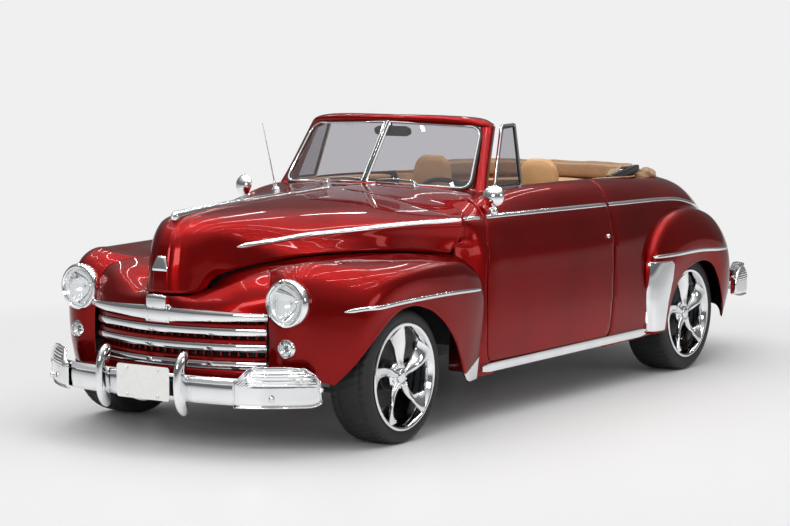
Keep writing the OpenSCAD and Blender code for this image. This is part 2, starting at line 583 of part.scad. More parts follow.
module tyre(r, w) rotate([0, 90, 0]) rotate_extrude($fn = 72) polygon([
    [rim_r - 14, -w / 2 + 22], [rim_r + 4, -w / 2 + 6], [(r + rim_r) / 2, -w / 2], [r - 16, -w / 2 + 8],
    [r - 3, -w / 2 + 24], [r, -w / 2 + 44], [r, w / 2 - 44], [r - 3, w / 2 - 24],
    [r - 16, w / 2 - 8], [(r + rim_r) / 2, w / 2], [rim_r + 4, w / 2 - 6], [rim_r - 14, w / 2 - 22]]);
module rim(w) {
    rotate([0, 90, 0]) rotate_extrude($fn = 72) polygon([
        [rim_r - 14.3, -w / 2 + 22], [rim_r - 14.3, w / 2 - 22], [rim_r + 3, w / 2 - 6], [rim_r, w / 2 + 3],
        [rim_r - 18, w / 2 + 3], [rim_r - 26, w / 2 - 30], [rim_r - 30, -w / 2 + 22]]);
    for (k = [0:spokes - 1]) rotate([90 + 360 / spokes * k, 0, 0])
        translate([w / 2 - 58, 0, 30]) rotate([0, 0, 18])
            translate([-9, -34, 0]) cube([18, 68, rim_r - 56]);
    difference() {
        bar_x(68, w / 2 - 80, w / 2 - 34);
        bar_x(24.8, w / 2 - 90, w / 2 - 50);
    }
    bar_x(30, w / 2 - 36, w / 2 - 14);
}
module wheel_at(x, y, r) car() translate([x, y, r]) children();
front_x = front_rim_face - front_tyre_w / 2;
rear_x = rear_rim_face - rear_tyre_w / 2;
module tyre_front_left() color(dark) wheel_at(front_x, 0, front_tyre_r) tyre(front_tyre_r, front_tyre_w);
module tyre_front_right() color(dark) mirror([1, 0, 0]) wheel_at(front_x, 0, front_tyre_r) tyre(front_tyre_r, front_tyre_w);
module tyre_rear_left() color(dark) wheel_at(rear_x, rear_y, rear_tyre_r) tyre(rear_tyre_r, rear_tyre_w);
module tyre_rear_right() color(dark) mirror([1, 0, 0]) wheel_at(rear_x, rear_y, rear_tyre_r) tyre(rear_tyre_r, rear_tyre_w);
module rim_front_left() color(chrome) wheel_at(front_x, 0, front_tyre_r) rim(front_tyre_w);
module rim_front_right() color(chrome) mirror([1, 0, 0]) wheel_at(front_x, 0, front_tyre_r) rim(front_tyre_w);
module rim_rear_left() color(chrome) wheel_at(rear_x, rear_y, rear_tyre_r) rim(rear_tyre_w);
module rim_rear_right() color(chrome) mirror([1, 0, 0]) wheel_at(rear_x, rear_y, rear_tyre_r) rim(rear_tyre_w);

module knuckle() {
    translate([652, -30, 224]) cube([36, 60, 168]);
    translate([688, 0, front_tyre_r]) bar_x(24.5, 0, front_x + front_tyre_w / 2 - 60 - 688);
}
module knuckle_left() color(steel) car() knuckle();
module knuckle_right() color(steel) car() mirror([1, 0, 0]) knuckle();

chassis_frame();
floor_pan();
cowl();
quarter_left();
quarter_right();
tail_panel();
front_fender_left();
front_fender_right();
rear_fender_left();
rear_fender_right();
nose_panel();
grille();
grille_bars();
engine_bay();
engine();
driveline();
exhaust();
fuel_tank();
rear_axle();
front_suspension();
front_bumper();
rear_bumper();
front_lamps();
tail_lamps();
windscreen_frame();
windscreen_glass();
dashboard();
front_seats();
rear_seat();
folded_top();
hood();
deck_lid();
door_left();
door_right();
steering_wheel();
knuckle_left();
knuckle_right();
tyre_front_left();
tyre_front_right();
tyre_rear_left();
tyre_rear_right();
rim_front_left();
rim_front_right();
rim_rear_left();
rim_rear_right();
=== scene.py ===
import math
import bmesh
import bpy
import numpy as np
from mathutils import Matrix, Vector


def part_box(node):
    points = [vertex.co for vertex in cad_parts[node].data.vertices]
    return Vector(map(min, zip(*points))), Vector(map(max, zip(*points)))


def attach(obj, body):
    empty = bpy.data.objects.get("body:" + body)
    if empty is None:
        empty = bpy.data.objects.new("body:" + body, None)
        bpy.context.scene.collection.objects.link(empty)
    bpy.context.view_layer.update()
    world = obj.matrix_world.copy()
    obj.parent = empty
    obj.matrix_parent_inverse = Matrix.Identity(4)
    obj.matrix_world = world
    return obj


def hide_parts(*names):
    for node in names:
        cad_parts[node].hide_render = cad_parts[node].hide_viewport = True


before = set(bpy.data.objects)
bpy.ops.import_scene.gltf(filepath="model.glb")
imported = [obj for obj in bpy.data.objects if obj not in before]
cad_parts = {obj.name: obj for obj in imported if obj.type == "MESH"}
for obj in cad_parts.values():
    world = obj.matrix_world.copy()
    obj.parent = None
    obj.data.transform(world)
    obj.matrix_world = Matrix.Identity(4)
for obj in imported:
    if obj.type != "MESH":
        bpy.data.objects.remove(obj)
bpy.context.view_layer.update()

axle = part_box("rim_front_left")
axleY = (axle[0].y + axle[1].y) / 2  # forms below are written in mm, from the front axle rearward
mm = 0.001
print("frame loaded")


def at(x, y, z):
    return Vector((x * mm, y * mm + axleY, z * mm))


def place(points):  # an array of mm points, in the frame's metres
    return np.asarray(points) * mm + np.array([0, axleY, 0])


class Wire:  # a value or colour on its way through a material
    def __init__(self, finish, socket):
        self.finish, self.socket = finish, socket

    def maths(self, operation, *others):
        values = {k: o for k, o in enumerate([self, *others])}
        return self.finish.node("ShaderNodeMath", {"operation": operation}, values)

    def __add__(self, other):
        return self.maths("ADD", other)

    def __mul__(self, other):
        return self.maths("MULTIPLY", other)

    def __sub__(self, other):
        return self.maths("SUBTRACT", other)

    def __rsub__(self, other):
        return self.finish.node("ShaderNodeMath", {"operation": "SUBTRACT"}, {0: other, 1: self})

    def __pow__(self, other):
        return self.maths("POWER", other)

    __radd__, __rmul__ = __add__, __mul__

    def fade(self, low, high):  # 0 below low, 1 above high
        values = {"Value": self, "From Min": low, "From Max": high}
        return self.finish.node("ShaderNodeMapRange", {"clamp": True}, values)


class Finish:
    def __init__(self, name, slot, **constants):
        self.slot = slot  # the name of a record's material slot for this finish
        self.data = bpy.data.materials.new(name)
        self.data.use_nodes = True
        self.tree = self.data.node_tree
        self.tree.nodes.clear()
        self.shader = self.tree.nodes.new("ShaderNodeBsdfPrincipled")
        self.output = self.tree.nodes.new("ShaderNodeOutputMaterial")
        self.tree.links.new(self.shader.outputs[0], self.output.inputs["Surface"])
        self.set(**constants)

    def node(self, kind, settings=None, values=None, out=0):
        made = self.tree.nodes.new(kind)
        for key, value in (settings or {}).items():
            if key == "stops":
                ramp = made.color_ramp
                while len(ramp.elements) < len(value):
                    ramp.elements.new(0.5)
                for element, (spot, colour) in zip(ramp.elements, value):
                    element.position, element.color = spot, (*colour, 1)
            else:
                setattr(made, key, value)
        for key, value in (values or {}).items():
            self.feed(made.inputs[key], value)
        return Wire(self, made.outputs[out])

    def feed(self, socket, value):
        if isinstance(value, Wire):
            self.tree.links.new(value.socket, socket)
        elif isinstance(value, (tuple, list)) and len(value) == 3 and len(socket.default_value) == 4:
            socket.default_value = (*value, 1)
        else:
            socket.default_value = value

    def set(self, **values):  # baseColor=... sets Base Color
        for key, value in values.items():
            words = "".join(" " + c if c.isupper() else c for c in key).title()
            self.feed(self.shader.inputs[words.replace("Ior", "IOR")], value)
        return self

    def where(self, scale=(1, 1, 1), turn=(0, 0, 0)):  # object coordinates, in metres
        spot = self.node("ShaderNodeTexCoord", out="Object")
        values = {"Vector": spot, "Scale": scale, "Rotation": turn}
        return self.node("ShaderNodeMapping", {}, values)

    def axis(self, index):
        return self.node("ShaderNodeSeparateXYZ", {}, {0: self.node("ShaderNodeTexCoord", out="Object")}, index)

    def noise(self, scale, detail=3.0, rough=0.5, stretch=(1, 1, 1)):
        values = {"Vector": self.where(stretch), "Scale": scale, "Detail": detail, "Roughness": rough}
        return self.node("ShaderNodeTexNoise", {}, values)

    def cells(self, scale, feature="F1", stretch=(1, 1, 1)):
        values = {"Vector": self.where(stretch), "Scale": scale}
        return self.node("ShaderNodeTexVoronoi", {"feature": feature}, values)

    def waves(self, scale, direction="X", distort=0.0):
        values = {"Vector": self.where(), "Scale": scale, "Distortion": distort}
        return self.node("ShaderNodeTexWave", {"bands_direction": direction}, values)

    def blend(self, factor, first, second):
        values = {0: factor, 6: first, 7: second}
        return self.node("ShaderNodeMix", {"data_type": "RGBA"}, values, out=2)

    def bump(self, height, strength, distance):
        made = self.node("ShaderNodeBump", {}, {"Height": height, "Strength": strength, "Distance": distance})
        self.set(normal=made)
        return self


# colours, and how finely each pattern repeats
looks = {
    "paint": {"deep": (0.19, 0.003, 0.003), "bright": (0.34, 0.005, 0.005), "flake": 1400, "drift": 2.2,
              "mottle": 900, "peel": 2600},
    "underseal": {"colour": (0.022, 0.021, 0.022), "dust": (0.075, 0.066, 0.058), "patches": 14, "grit": 320},
    "chrome": {"colour": (0.86, 0.87, 0.88), "smeared": (0.78, 0.79, 0.81), "smears": 9, "ripple": 5.5},
    "steel": {"bare": (0.30, 0.31, 0.33), "frame": (0.035, 0.035, 0.037), "engine": (0.16, 0.17, 0.18),
              "grime": 11, "pits": 420},
    "rubber": {"colour": (0.018, 0.018, 0.019), "dust": (0.07, 0.064, 0.058), "patches": 26, "grit": 700},
    "leather": {"colour": (0.66, 0.365, 0.155), "worn": (0.53, 0.28, 0.11), "grain": 620, "wrinkle": 170,
                "wear": 7},
    "canvas": {"colour": (0.39, 0.235, 0.125), "dark": (0.29, 0.165, 0.08), "weave": 420, "slub": 38,
               "rumple": 60},
    # the carpet's darker colour between its loops is painted shade
    "carpet": {"colour": (0.30, 0.19, 0.10), "root": (0.1, 0.06, 0.03), "loop": 520, "drift": 9, "fibre": 900},
    "glass": {"tint": (0.50, 0.49, 0.52), "lens": (0.96, 0.97, 0.97), "film": 3.5, "mottle": 30},
    "tailRed": {"colour": (0.50, 0.008, 0.010), "dark": (0.22, 0.003, 0.004), "facet": 260},
    "trim": {"black": (0.02, 0.02, 0.022), "plate": (0.80, 0.80, 0.78), "dial": (0.82, 0.79, 0.70),
             "scuff": 60, "grain": 500},
}


def toned(colour, share):
    return tuple(c * share for c in colour)


def candyPaint():
    look = looks["paint"]
    coat = Finish("candyPaint", "paint", metallic=0.85, coatWeight=1.0, coatRoughness=0.01, coatIor=1.24,
                  specularIorLevel=0.05, specularTint=(0.36, 0.03, 0.025))
    depth = (coat.cells(look["flake"]) * 0.25 + coat.noise(look["drift"], 2) * 0.75).fade(0.25, 0.75)
    coat.set(baseColor=coat.blend(depth, look["deep"], look["bright"]))
    coat.set(roughness=0.27 + coat.noise(look["mottle"], 1) * 0.06)
    return coat.bump(coat.noise(look["peel"], 2), 0.05, 0.0002)


def dusty(name, slot, look, level, fades, dustShare, rough, bump):  # a dark surface with dust in patches
    made = Finish(name, slot, specularIorLevel=level)
    dust = made.noise(look["patches"], 5).fade(*fades)
    made.set(baseColor=made.blend(dust * dustShare, look["colour"], look["dust"]))
    made.set(roughness=rough[0] + dust * rough[1])
    return made.bump(made.noise(look["grit"], 3), *bump)


def chromePlate():
    look = looks["chrome"]
    plate = Finish("chromePlate", "chrome", metallic=1.0)
    smear = plate.noise(look["smears"], 4).fade(0.4, 0.8)
    plate.set(baseColor=plate.blend(smear, look["colour"], look["smeared"]))
    plate.set(roughness=0.035 + smear * 0.05)
    return plate.bump(plate.noise(look["ripple"], 1), 0.03, 0.002)


def paintedSteel(name, slot, colour, rough):
    look = looks["steel"]
    metal = Finish(name, slot, metallic=0.2)
    grime = metal.noise(look["grime"], 5).fade(0.4, 0.75)
    metal.set(baseColor=metal.blend(grime, colour, toned(colour, 0.55)), roughness=rough + grime * 0.2)
    return metal.bump(metal.noise(look["pits"], 2), 0.25, 0.0006)


def tannedLeather():
    look = looks["leather"]
    hide = Finish("tanLeather", "seat_leather", specularIorLevel=0.4, coatWeight=0.06, coatRoughness=0.35,
                  sheenWeight=0.1)
    grain, wrinkle = hide.cells(look["grain"]), hide.cells(look["wrinkle"], "DISTANCE_TO_EDGE")
    wear = hide.noise(look["wear"], 5).fade(0.42, 0.72)
    shade = hide.blend(wear, look["colour"], look["worn"])
    # painted shade: the colour darkens along the wrinkles' creases
    crease = 1 - wrinkle.fade(0.0, 0.06)
    hide.set(baseColor=hide.blend(crease * 0.35, shade, toned(look["colour"], 0.62)))
    hide.set(roughness=0.42 + wear * 0.14 + grain * 0.05)
    return hide.bump(wrinkle.fade(0.0, 0.12) * 0.6 + grain * 0.5, 0.35, 0.0009)


def wovenCanvas():
    look = looks["canvas"]
    cloth = Finish("wovenCanvas", "top_cloth", sheenWeight=0.35, specularIorLevel=0.2)
    weave = cloth.waves(look["weave"], "X") * 0.5 + cloth.waves(look["weave"], "Y") * 0.5
    slub = cloth.noise(look["slub"], 5, 0.6, (1, 6, 1)).fade(0.35, 0.75)
    shade = cloth.blend(slub, look["colour"], look["dark"])
    cloth.set(baseColor=cloth.blend(weave.fade(0.2, 0.9) * 0.4, shade, toned(look["colour"], 1.15)))
    cloth.set(roughness=0.86 + slub * 0.1)
    return cloth.bump(weave + cloth.noise(look["rumple"], 4) * 1.5, 0.5, 0.0012)


def carpetPile():  # pile on faces that look up, underseal on those that look down
    look = looks["carpet"]
    pile = Finish("carpetPile", "seat_leather", sheenWeight=0.4, specularIorLevel=0.1)
    loop = pile.cells(look["loop"])
    shade = pile.blend(pile.noise(look["drift"], 4), look["colour"], toned(look["colour"], 0.6))
    up = pile.node("ShaderNodeSeparateXYZ", {}, {0: pile.node("ShaderNodeNewGeometry", out="Normal")}, 2)
    under = looks["underseal"]["colour"]
    # painted shade: the pile turns darker away from each loop's middle, between the loops
    pile.set(baseColor=pile.blend(up.fade(0.1, 0.3), under, pile.blend(loop, shade, look["root"])))
    pile.set(roughness=0.9 + loop * 0.1)
    return pile.bump(loop + pile.noise(look["fibre"], 2), 0.8, 0.003)


def clearGlass():
    look = looks["glass"]
    pane = Finish("clearGlass", "glass", baseColor=look["tint"], transmissionWeight=1.0, ior=1.01,
                  coatWeight=1.0, coatRoughness=0.01, coatIor=1.5)
    return pane.set(roughness=pane.noise(look["film"], 4).fade(0.55, 0.9) * 0.02)


def lensGlass():
    look = looks["glass"]
    pane = Finish("lensGlass", "lens", baseColor=look["lens"], transmissionWeight=0.97, ior=1.18,
                  coatWeight=0.5)
    return pane.set(roughness=0.07 + pane.noise(look["mottle"], 3) * 0.06)


def redLens():
    look = looks["tailRed"]
    made = Finish("redLens", "tail_red", transmissionWeight=0.35, coatWeight=1.0, ior=1.45)
    facet = made.cells(look["facet"])
    made.set(baseColor=made.blend(facet.fade(0.1, 0.7), look["colour"], look["dark"]))
    return made.set(roughness=0.12 + facet * 0.1).bump(facet, 0.4, 0.002)


def softTrim(name, slot, colour, rough):
    look = looks["trim"]
    trim = Finish(name, slot, specularIorLevel=0.4)
    scuff = trim.noise(look["scuff"], 4).fade(0.45, 0.8)
    trim.set(baseColor=trim.blend(scuff, colour, toned(colour, 0.93)))
    trim.set(roughness=rough + scuff * 0.15)
    return trim.bump(trim.noise(look["grain"], 2), 0.2, 0.0005)


paint, chrome = candyPaint(), chromePlate()
seal = dusty("underSeal", None, looks["underseal"], 0.3, (0.45, 0.75), 0.5, (0.72, 0.2), (0.5, 0.0012))
rubber = dusty("tyreRubber", "tyre", looks["rubber"], 0.35, (0.5, 0.85), 0.35, (0.55, 0.25), (0.25, 0.0005))
steel = paintedSteel("bareSteel", "steel", looks["steel"]["bare"], 0.42)
frameBlack = paintedSteel("frameBlack", "frame_black", looks["steel"]["frame"], 0.45)
enginePaint = paintedSteel("enginePaint", "engine_block", looks["steel"]["engine"], 0.5)
leather, canvas, carpet = tannedLeather(), wovenCanvas(), carpetPile()
glass, lens, tailGlass = clearGlass(), lensGlass(), redLens()
blackTrim = softTrim("blackTrim", "frame_black", looks["trim"]["black"], 0.4)
plateWhite = softTrim("plateWhite", "chrome", looks["trim"]["plate"], 0.35)
dialIvory = softTrim("dialIvory", "frame_black", looks["trim"]["dial"], 0.4)
print("finishes made")


def weights(count, u):  # share of each of count section points in the smooth curve at u
    u = np.asarray(u, float).ravel()
    last, row = count - 1, np.arange(u.size)
    i = np.clip(np.floor(u), 0, last - 1).astype(int)
    s = u - i
    lead = (s ** 3 - 2 * s ** 2 + s) / np.where(i == 0, 1, 2)
    trail = (s ** 3 - s ** 2) / np.where(i == last - 1, 1, 2)
    share = np.zeros((u.size, count))
    for spot, part in ((i, 2 * s ** 3 - 3 * s ** 2 + 1), (i + 1, 3 * s ** 2 - 2 * s ** 3), (i + 1, lead),
                       (np.maximum(i - 1, 0), -lead), (np.minimum(i + 2, last), trail), (i, -trail)):
        np.add.at(share, (row, spot), part)
    return share


def bend(points, u):
    return weights(len(points), u) @ np.array(points, float)


class Skin:
    def __init__(self, rows, whole=False):
        rows = np.array(rows, float)
        if whole:  # rows are given from the centreline outwards
            rows = np.concatenate([rows[:, :0:-1] * np.array([-1, 1, 1]), rows], axis=1)
        self.rows = rows
        self.lastU, self.lastV = rows.shape[0] - 1, rows.shape[1] - 1

    def points(self, u, v):
        return np.einsum("pi,pj,ijk->pk", weights(self.lastU + 1, u), weights(self.lastV + 1, v), self.rows)

    def slopes(self, u, v, d=0.02):
        along = self.points(np.minimum(u + d, self.lastU), v) - self.points(np.maximum(u - d, 0), v)
        across = self.points(u, np.minimum(v + d, self.lastV)) - self.points(u, np.maximum(v - d, 0))
        return along / (2 * d), across / (2 * d)

    def normals(self, u, v):
        along, across = self.slopes(u, v)
        out = np.cross(across, along)
        return out / np.maximum(np.linalg.norm(out, axis=1, keepdims=True), 1e-9)


def outside(outline, axes=(1, 2)):  # distance of points outside a closed outline, in two of the axes
    ring = np.array(outline, float)
    after = np.roll(ring, -1, axis=0)
    edge = after - ring

    def distance(points):
        p = points[:, axes]
        gap = p[:, None] - ring[None]
        t = np.clip((gap * edge).sum(2) / (edge ** 2).sum(1), 0, 1)
        far = np.linalg.norm(gap - t[..., None] * edge, axis=2).min(1)
        above = (ring[:, 1] > p[:, None, 1]) != (after[:, 1] > p[:, None, 1])
        run = np.where(edge[:, 1] == 0, 1e-9, edge[:, 1])
        crossing = ring[:, 0] + (p[:, None, 1] - ring[:, 1]) * edge[:, 0] / run
        within = ((above & (p[:, None, 0] < crossing)).sum(1) % 2) == 1
        return np.where(within, -far, far)
    return distance


def grown(outline, g):  # the outline moved outwards by g
    ring = np.array(outline, float)
    step = np.roll(ring, -1, axis=0) - np.roll(ring, 1, axis=0)
    normal = np.stack([step[:, 1], -step[:, 0]], 1)
    normal /= np.linalg.norm(normal, axis=1, keepdims=True)
    area = (ring[:, 0] * np.roll(ring[:, 1], -1) - np.roll(ring[:, 0], -1) * ring[:, 1]).sum()
    return ring + normal * g * (1 if area > 0 else -1)


def rounded(corners, radius, steps=8, inset=0.0):  # corners made into small arcs, of one radius or a list
    ring = [Vector(c) for c in corners]
    middle = sum(ring, ring[0] * 0) / len(ring)
    made = []
    for k, corner in enumerate(ring):
        before, after = ring[k - 1] - corner, ring[(k + 1) % len(ring)] - corner
        r = min(radius[k] if isinstance(radius, list) else radius, before.length * 0.45, after.length * 0.45)
        a, b = corner + before.normalized() * r, corner + after.normalized() * r
        for t in np.linspace(0, 1, steps):
            p = a * (1 - t) ** 2 + corner * 2 * t * (1 - t) + b * t ** 2
            made.append(tuple(p + (middle - p).normalized() * inset))
    return np.array(made)


def sharpen(bm, degrees=32):
    for face in bm.faces:
        face.smooth = True
    for edge in bm.edges:
        edge.smooth = len(edge.link_faces) < 2 or edge.calc_face_angle(0) < math.radians(degrees)


def finishPiece(name, bm, finish, body="body", slot=None, replaces=(), more=(), degrees=32, outward=False,
                mods=()):
    if outward:
        bmesh.ops.recalc_face_normals(bm, faces=bm.faces)
    sharpen(bm, degrees)
    mesh = bpy.data.meshes.new(name)
    bm.to_mesh(mesh)
    bm.free()
    piece = bpy.data.objects.new(name, mesh)
    bpy.context.scene.collection.objects.link(piece)
    for one in (finish, *more):
        mesh.materials.append(one.data)
    for kind, settings in mods:
        added = piece.modifiers.new(kind.title(), kind)
        for key, value in settings.items():
            setattr(added, key, value)
    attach(piece, body)
    if replaces:
        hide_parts(*([replaces] if isinstance(replaces, str) else replaces))
    return piece


def mirrored(bm):  # a copy for the other side of the car
    other = bm.copy()
    bmesh.ops.scale(other, vec=(-1, 1, 1), verts=other.verts)
    bmesh.ops.reverse_faces(other, faces=other.faces)
    return other


def bothSides(name, bm, finish, bodies=("body",), slot=None, replaces=(), **rest):
    # the left piece and its mirror image; nodes in replaces are named without _left and _right
    other = mirrored(bm)
    made = []
    for side, mesh, body in (("Left", bm, bodies[0]), ("Right", other, bodies[-1])):
        nodes = [f"{node}_{side.lower()}" for node in replaces]
        made.append(finishPiece(name + side, mesh, finish, body, slot, nodes, **rest))
    return made


def laid(nu, nv):  # a flat grid with its own 0 to 1 places, to be laid on a form; v runs across, u along
    bm = bmesh.new()
    bmesh.ops.create_grid(bm, x_segments=nv, y_segments=nu, size=0.5)
    spots = np.array([v.co for v in bm.verts])
    return bm, spots[:, 1] + 0.5, spots[:, 0] + 0.5


def settle(bm, points):
    for vert, point in zip(bm.verts, points):
        vert.co = point


def wall(thick, offset=-1, lined=False):  # lined gives the inner side a piece's second material
    settings = {"thickness": thick * mm, "offset": offset}
    return [("SOLIDIFY", {**settings, "material_offset": 1, "material_offset_rim": 0} if lined else settings)]


def seamless(bm, fill=False):  # doubles merged, open ends closed if wanted, faces outwards
    bmesh.ops.remove_doubles(bm, verts=bm.verts, dist=0.00002)
    if fill:
        bmesh.ops.holes_fill(bm, edges=[e for e in bm.edges if e.is_boundary], sides=0)
    bmesh.ops.recalc_face_normals(bm, faces=bm.faces)
    return bm


fairing = {"rounds": 8, "smooth": 0.5, "restore": 0.53}
cutting = {"rounds": 7, "step": 0.004, "reach": 25, "least": 0.04}
rolling = {"hem": (2.0, 12.0), "stray": 3, "sink": 0.55}


def slide(skin, field, u, v, us, vs, fixU, fixV):  # moves cut edges over the skin onto the cut
    reach, d = cutting["reach"], cutting["step"]
    for _ in range(cutting["rounds"]):
        here = np.clip(field(u, v), -reach, reach)
        du, dv = skin.slopes(u, v)
        lu, lv = (du ** 2).sum(1) + 1e-6, (dv ** 2).sum(1) + 1e-6
        fu = np.where(fixU, 0, (field(np.clip(u + d, *us), v) - field(np.clip(u - d, *us), v)) / (2 * d))
        fv = np.where(fixV, 0, (field(u, np.clip(v + d, *vs)) - field(u, np.clip(v - d, *vs))) / (2 * d))
        power = np.maximum(fu ** 2 / lu + fv ** 2 / lv, cutting["least"])
        u, v = np.clip(u - here * fu / lu / power, *us), np.clip(v - here * fv / lv / power, *vs)
    return u, v


def skinPanel(skin, us, vs, cells, keep=(), relief=None, hem=rolling["hem"], hemWay=None, spread=None):
    # part of a skin as a sheet: cut along the curves where keep is 0, with its edges rolled in by hem
    bm, s, t = laid(*cells)
    if spread:
        s, t = spread(s, t)
    u, v = us[0] + (us[1] - us[0]) * s, vs[0] + (vs[1] - vs[0]) * t

    def field(a, b):
        p = skin.points(a, b)
        return np.min([f(p, a, b) for f in keep], axis=0)
    if keep:
        bm.verts.ensure_lookup_table()
        depth = field(u, v)
        full = np.array([len(vert.link_faces) for vert in bm.verts])
        gone = [f for f in bm.faces if sum(depth[w.index] for w in f.verts) < 0]
        wasAt = bm.verts.layers.int.new("old")
        for vert in bm.verts:
            vert[wasAt] = vert.index
        bmesh.ops.delete(bm, geom=gone, context="FACES")
        bm.verts.ensure_lookup_table()
        old = np.array([vert[wasAt] for vert in bm.verts])
        u, v, full = u[old], v[old], full[old]
        cut = np.array([len(w.link_faces) < n for w, n in zip(bm.verts, full)])
        onU, onV = np.isin(u, us) & (full < 4), np.isin(v, vs) & (full < 4)
        u[cut], v[cut] = slide(skin, field, u[cut], v[cut], us, vs, onU[cut], onV[cut])
        bm.verts.layers.int.remove(bm.verts.layers.int["old"])
    points, normals = skin.points(u, v), skin.normals(u, v)
    settle(bm, place(points))
    inner = [w for w in bm.verts if not w.is_boundary]
    for _ in range(fairing["rounds"]):  # evens out small waves, and keeps the form's size
        for factor in (fairing["smooth"], -fairing["restore"]):
            bmesh.ops.smooth_vert(bm, verts=inner, factor=factor, use_axis_x=True, use_axis_y=True,
                                  use_axis_z=True)
    if relief is not None:
        lift = (normals * relief(points, u, v)[:, None]) * mm
        settle(bm, np.array([w.co for w in bm.verts]) + lift)
    bmesh.ops.remove_doubles(bm, verts=bm.verts, dist=0.0008)
    rollEdges(bm, *hem, hemWay)
    return bm


def rollEdges(bm, roll, depth, way=None):  # a narrow rim round a sheet, rolled over and turned in
    bm.normal_update()
    if roll:
        before = {vert: vert.co.copy() for vert in bm.verts}
        bmesh.ops.inset_region(bm, faces=bm.faces, thickness=roll * mm, use_boundary=True, use_even_offset=True)
        for vert in bm.verts:  # a sharp corner must not shoot out
            starts = [before[vert]] if vert in before else [
                before[e.other_vert(vert)] for e in vert.link_edges if e.other_vert(vert) in before]
            near = min(starts, key=lambda start: (vert.co - start).length, default=vert.co)
            if (vert.co - near).length > rolling["stray"] * roll * mm:
                vert.co = near
        bm.normal_update()
    if not depth:
        return
    rim = [e for e in bm.edges if e.is_boundary]
    for vert in {w for e in rim for w in e.verts}:
        vert.co -= vert.normal * roll * rolling["sink"] * mm
    bm.normal_update()
    inward = {}
    for vert in {w for e in rim for w in e.verts}:
        sunk = way(vert.co, vert.normal) if way else None
        inward[vert] = sunk if sunk is not None else -vert.normal * depth * mm
    made = bmesh.ops.extrude_edge_only(bm, edges=rim)
    fresh = {tuple(round(c, 7) for c in w.co): d for w, d in inward.items()}
    for vert in [g for g in made["geom"] if isinstance(g, bmesh.types.BMVert)]:
        vert.co += fresh.get(tuple(round(c, 7) for c in vert.co), Vector((0, 0, 0)))


def rowsOf(text):  # one row of points a line, numbers only
    lines = [line.split() for line in text.strip().splitlines()]
    return [[[float(c) for c in point.split(",")] for point in line] for line in lines]


hoodSkin = Skin(rowsOf("""
0,-690,712 62,-684,712 112,-648,711 142,-600,711 150,-580,712 155,-562,714
0,-684,780 62,-676,780 118,-630,780 158,-570,780 171,-541,778 182,-512,776
0,-672,850 64,-662,850 125,-612,848 185,-520,845 209,-487,828 232,-458,806
0,-652,925 66,-640,925 135,-578,922 215,-462,908 257,-415,873 300,-372,830
0,-606,992 72,-590,992 155,-515,980 255,-390,936 314,-330,896 376,-270,852
0,-520,1036 85,-500,1033 190,-420,1010 315,-270,948 383,-204,908 452,-140,866
0,-350,1060 110,-325,1052 245,-240,1024 392,-130,956 451,-71,914 505,-10,869
0,-60,1078 150,-30,1069 330,40,1037 490,110,972 538,149,921 576,190,864
0,290,1094 210,300,1079 430,340,1038 622,370,982 640,383,920 642,400,850
0,655,1110 280,655,1086 540,655,1036 768,655,982 767,647,898 750,583,834"""), whole=True)
bodySkin = Skin(rowsOf("""
0,655,1110 280,655,1086 540,655,1036 682,655,1004 768,655,979 769,665,893 753,592,831 846,640,500 850,655,228
0,760,1114 280,760,1096 537,760,1055 681,760,1026 775,760,977 813,760,891 842,760,776 862,760,500 856,760,228
0,1000,1124 280,1000,1118 530,1000,1098 682,1000,1076 785,1000,974 823,1000,881 850,1000,768 866,1000,500 858,1000,228
0,1500,1130 280,1500,1126 530,1500,1118 692,1500,1100 790,1500,968 826,1500,873 852,1500,762 868,1500,500 860,1500,230
0,2100,1128 280,2100,1124 530,2100,1114 690,2100,1095 789,2100,972 825,2100,876 850,2100,762 866,2100,500 858,2100,236
0,2600,1122 270,2600,1118 520,2600,1105 678,2600,1078 782,2600,975 814,2600,880 836,2600,765 852,2600,500 846,2600,250
0,3060,1112 260,3060,1106 490,3058,1086 648,3050,1048 765,3040,965 789,3034,876 800,3030,765 816,3030,500 810,3030,275
0,3350,1075 255,3345,1067 485,3322,1037 628,3295,985 728,3255,888 752,3241,802 766,3230,700 780,3220,480 776,3210,290
0,3620,985 255,3610,974 485,3566,932 605,3520,870 692,3440,780 717,3416,706 732,3400,620 746,3380,440 745,3370,300
0,3830,835 255,3815,824 480,3757,782 588,3690,722 666,3600,650 688,3566,593 701,3540,530 712,3510,410 712,3500,320
0,3950,660 250,3930,650 475,3864,620 577,3790,580 646,3700,530 667,3656,496 681,3620,460 690,3590,390 690,3580,335
0,3990,520 245,3970,515 470,3902,495 566,3825,470 633,3740,440 653,3696,423 666,3660,405 676,3640,370 677,3630,340
0,3985,400 245,3965,398 465,3897,392 561,3822,385 626,3740,375 647,3700,368 660,3668,362 668,3650,352 670,3645,345"""), whole=True)
frontFenderSkin = Skin(rowsOf("""
505,-548,322 590,-556,324 680,-500,325 738,-440,322 766,-402,310
512,-550,420 600,-562,420 695,-508,420 790,-410,415 806,-368,358
514,-550,520 602,-562,520 703,-510,520 826,-380,490 842,-338,408
508,-550,615 600,-558,615 704,-508,615 850,-352,565 868,-308,456
503,-537,705 600,-545,705 695,-498,705 866,-320,640 884,-270,500
478,-487,783 580,-498,797 682,-455,800 876,-250,716 892,-222,540
405,-412,818 540,-420,838 668,-378,846 882,-165,762 897,-150,590
322,-338,822 500,-320,834 662,-270,850 887,-65,784 900,-60,628
425,-190,848 555,-150,846 680,-110,852 890,50,793 902,40,636
525,60,854 620,70,850 715,70,851 892,160,794 904,140,614
580,210,850 668,220,848 748,230,848 893,275,788 905,225,578
618,345,842 705,350,838 780,358,832 892,380,774 904,318,512
694,490,832 760,490,822 816,490,808 888,480,752 902,395,430
738,562,826 794,572,804 838,580,774 884,570,704 898,445,345
762,606,815 806,640,784 840,656,740 874,650,650 892,505,236
766,616,812 802,662,770 834,688,706 864,702,580 864,636,222"""))
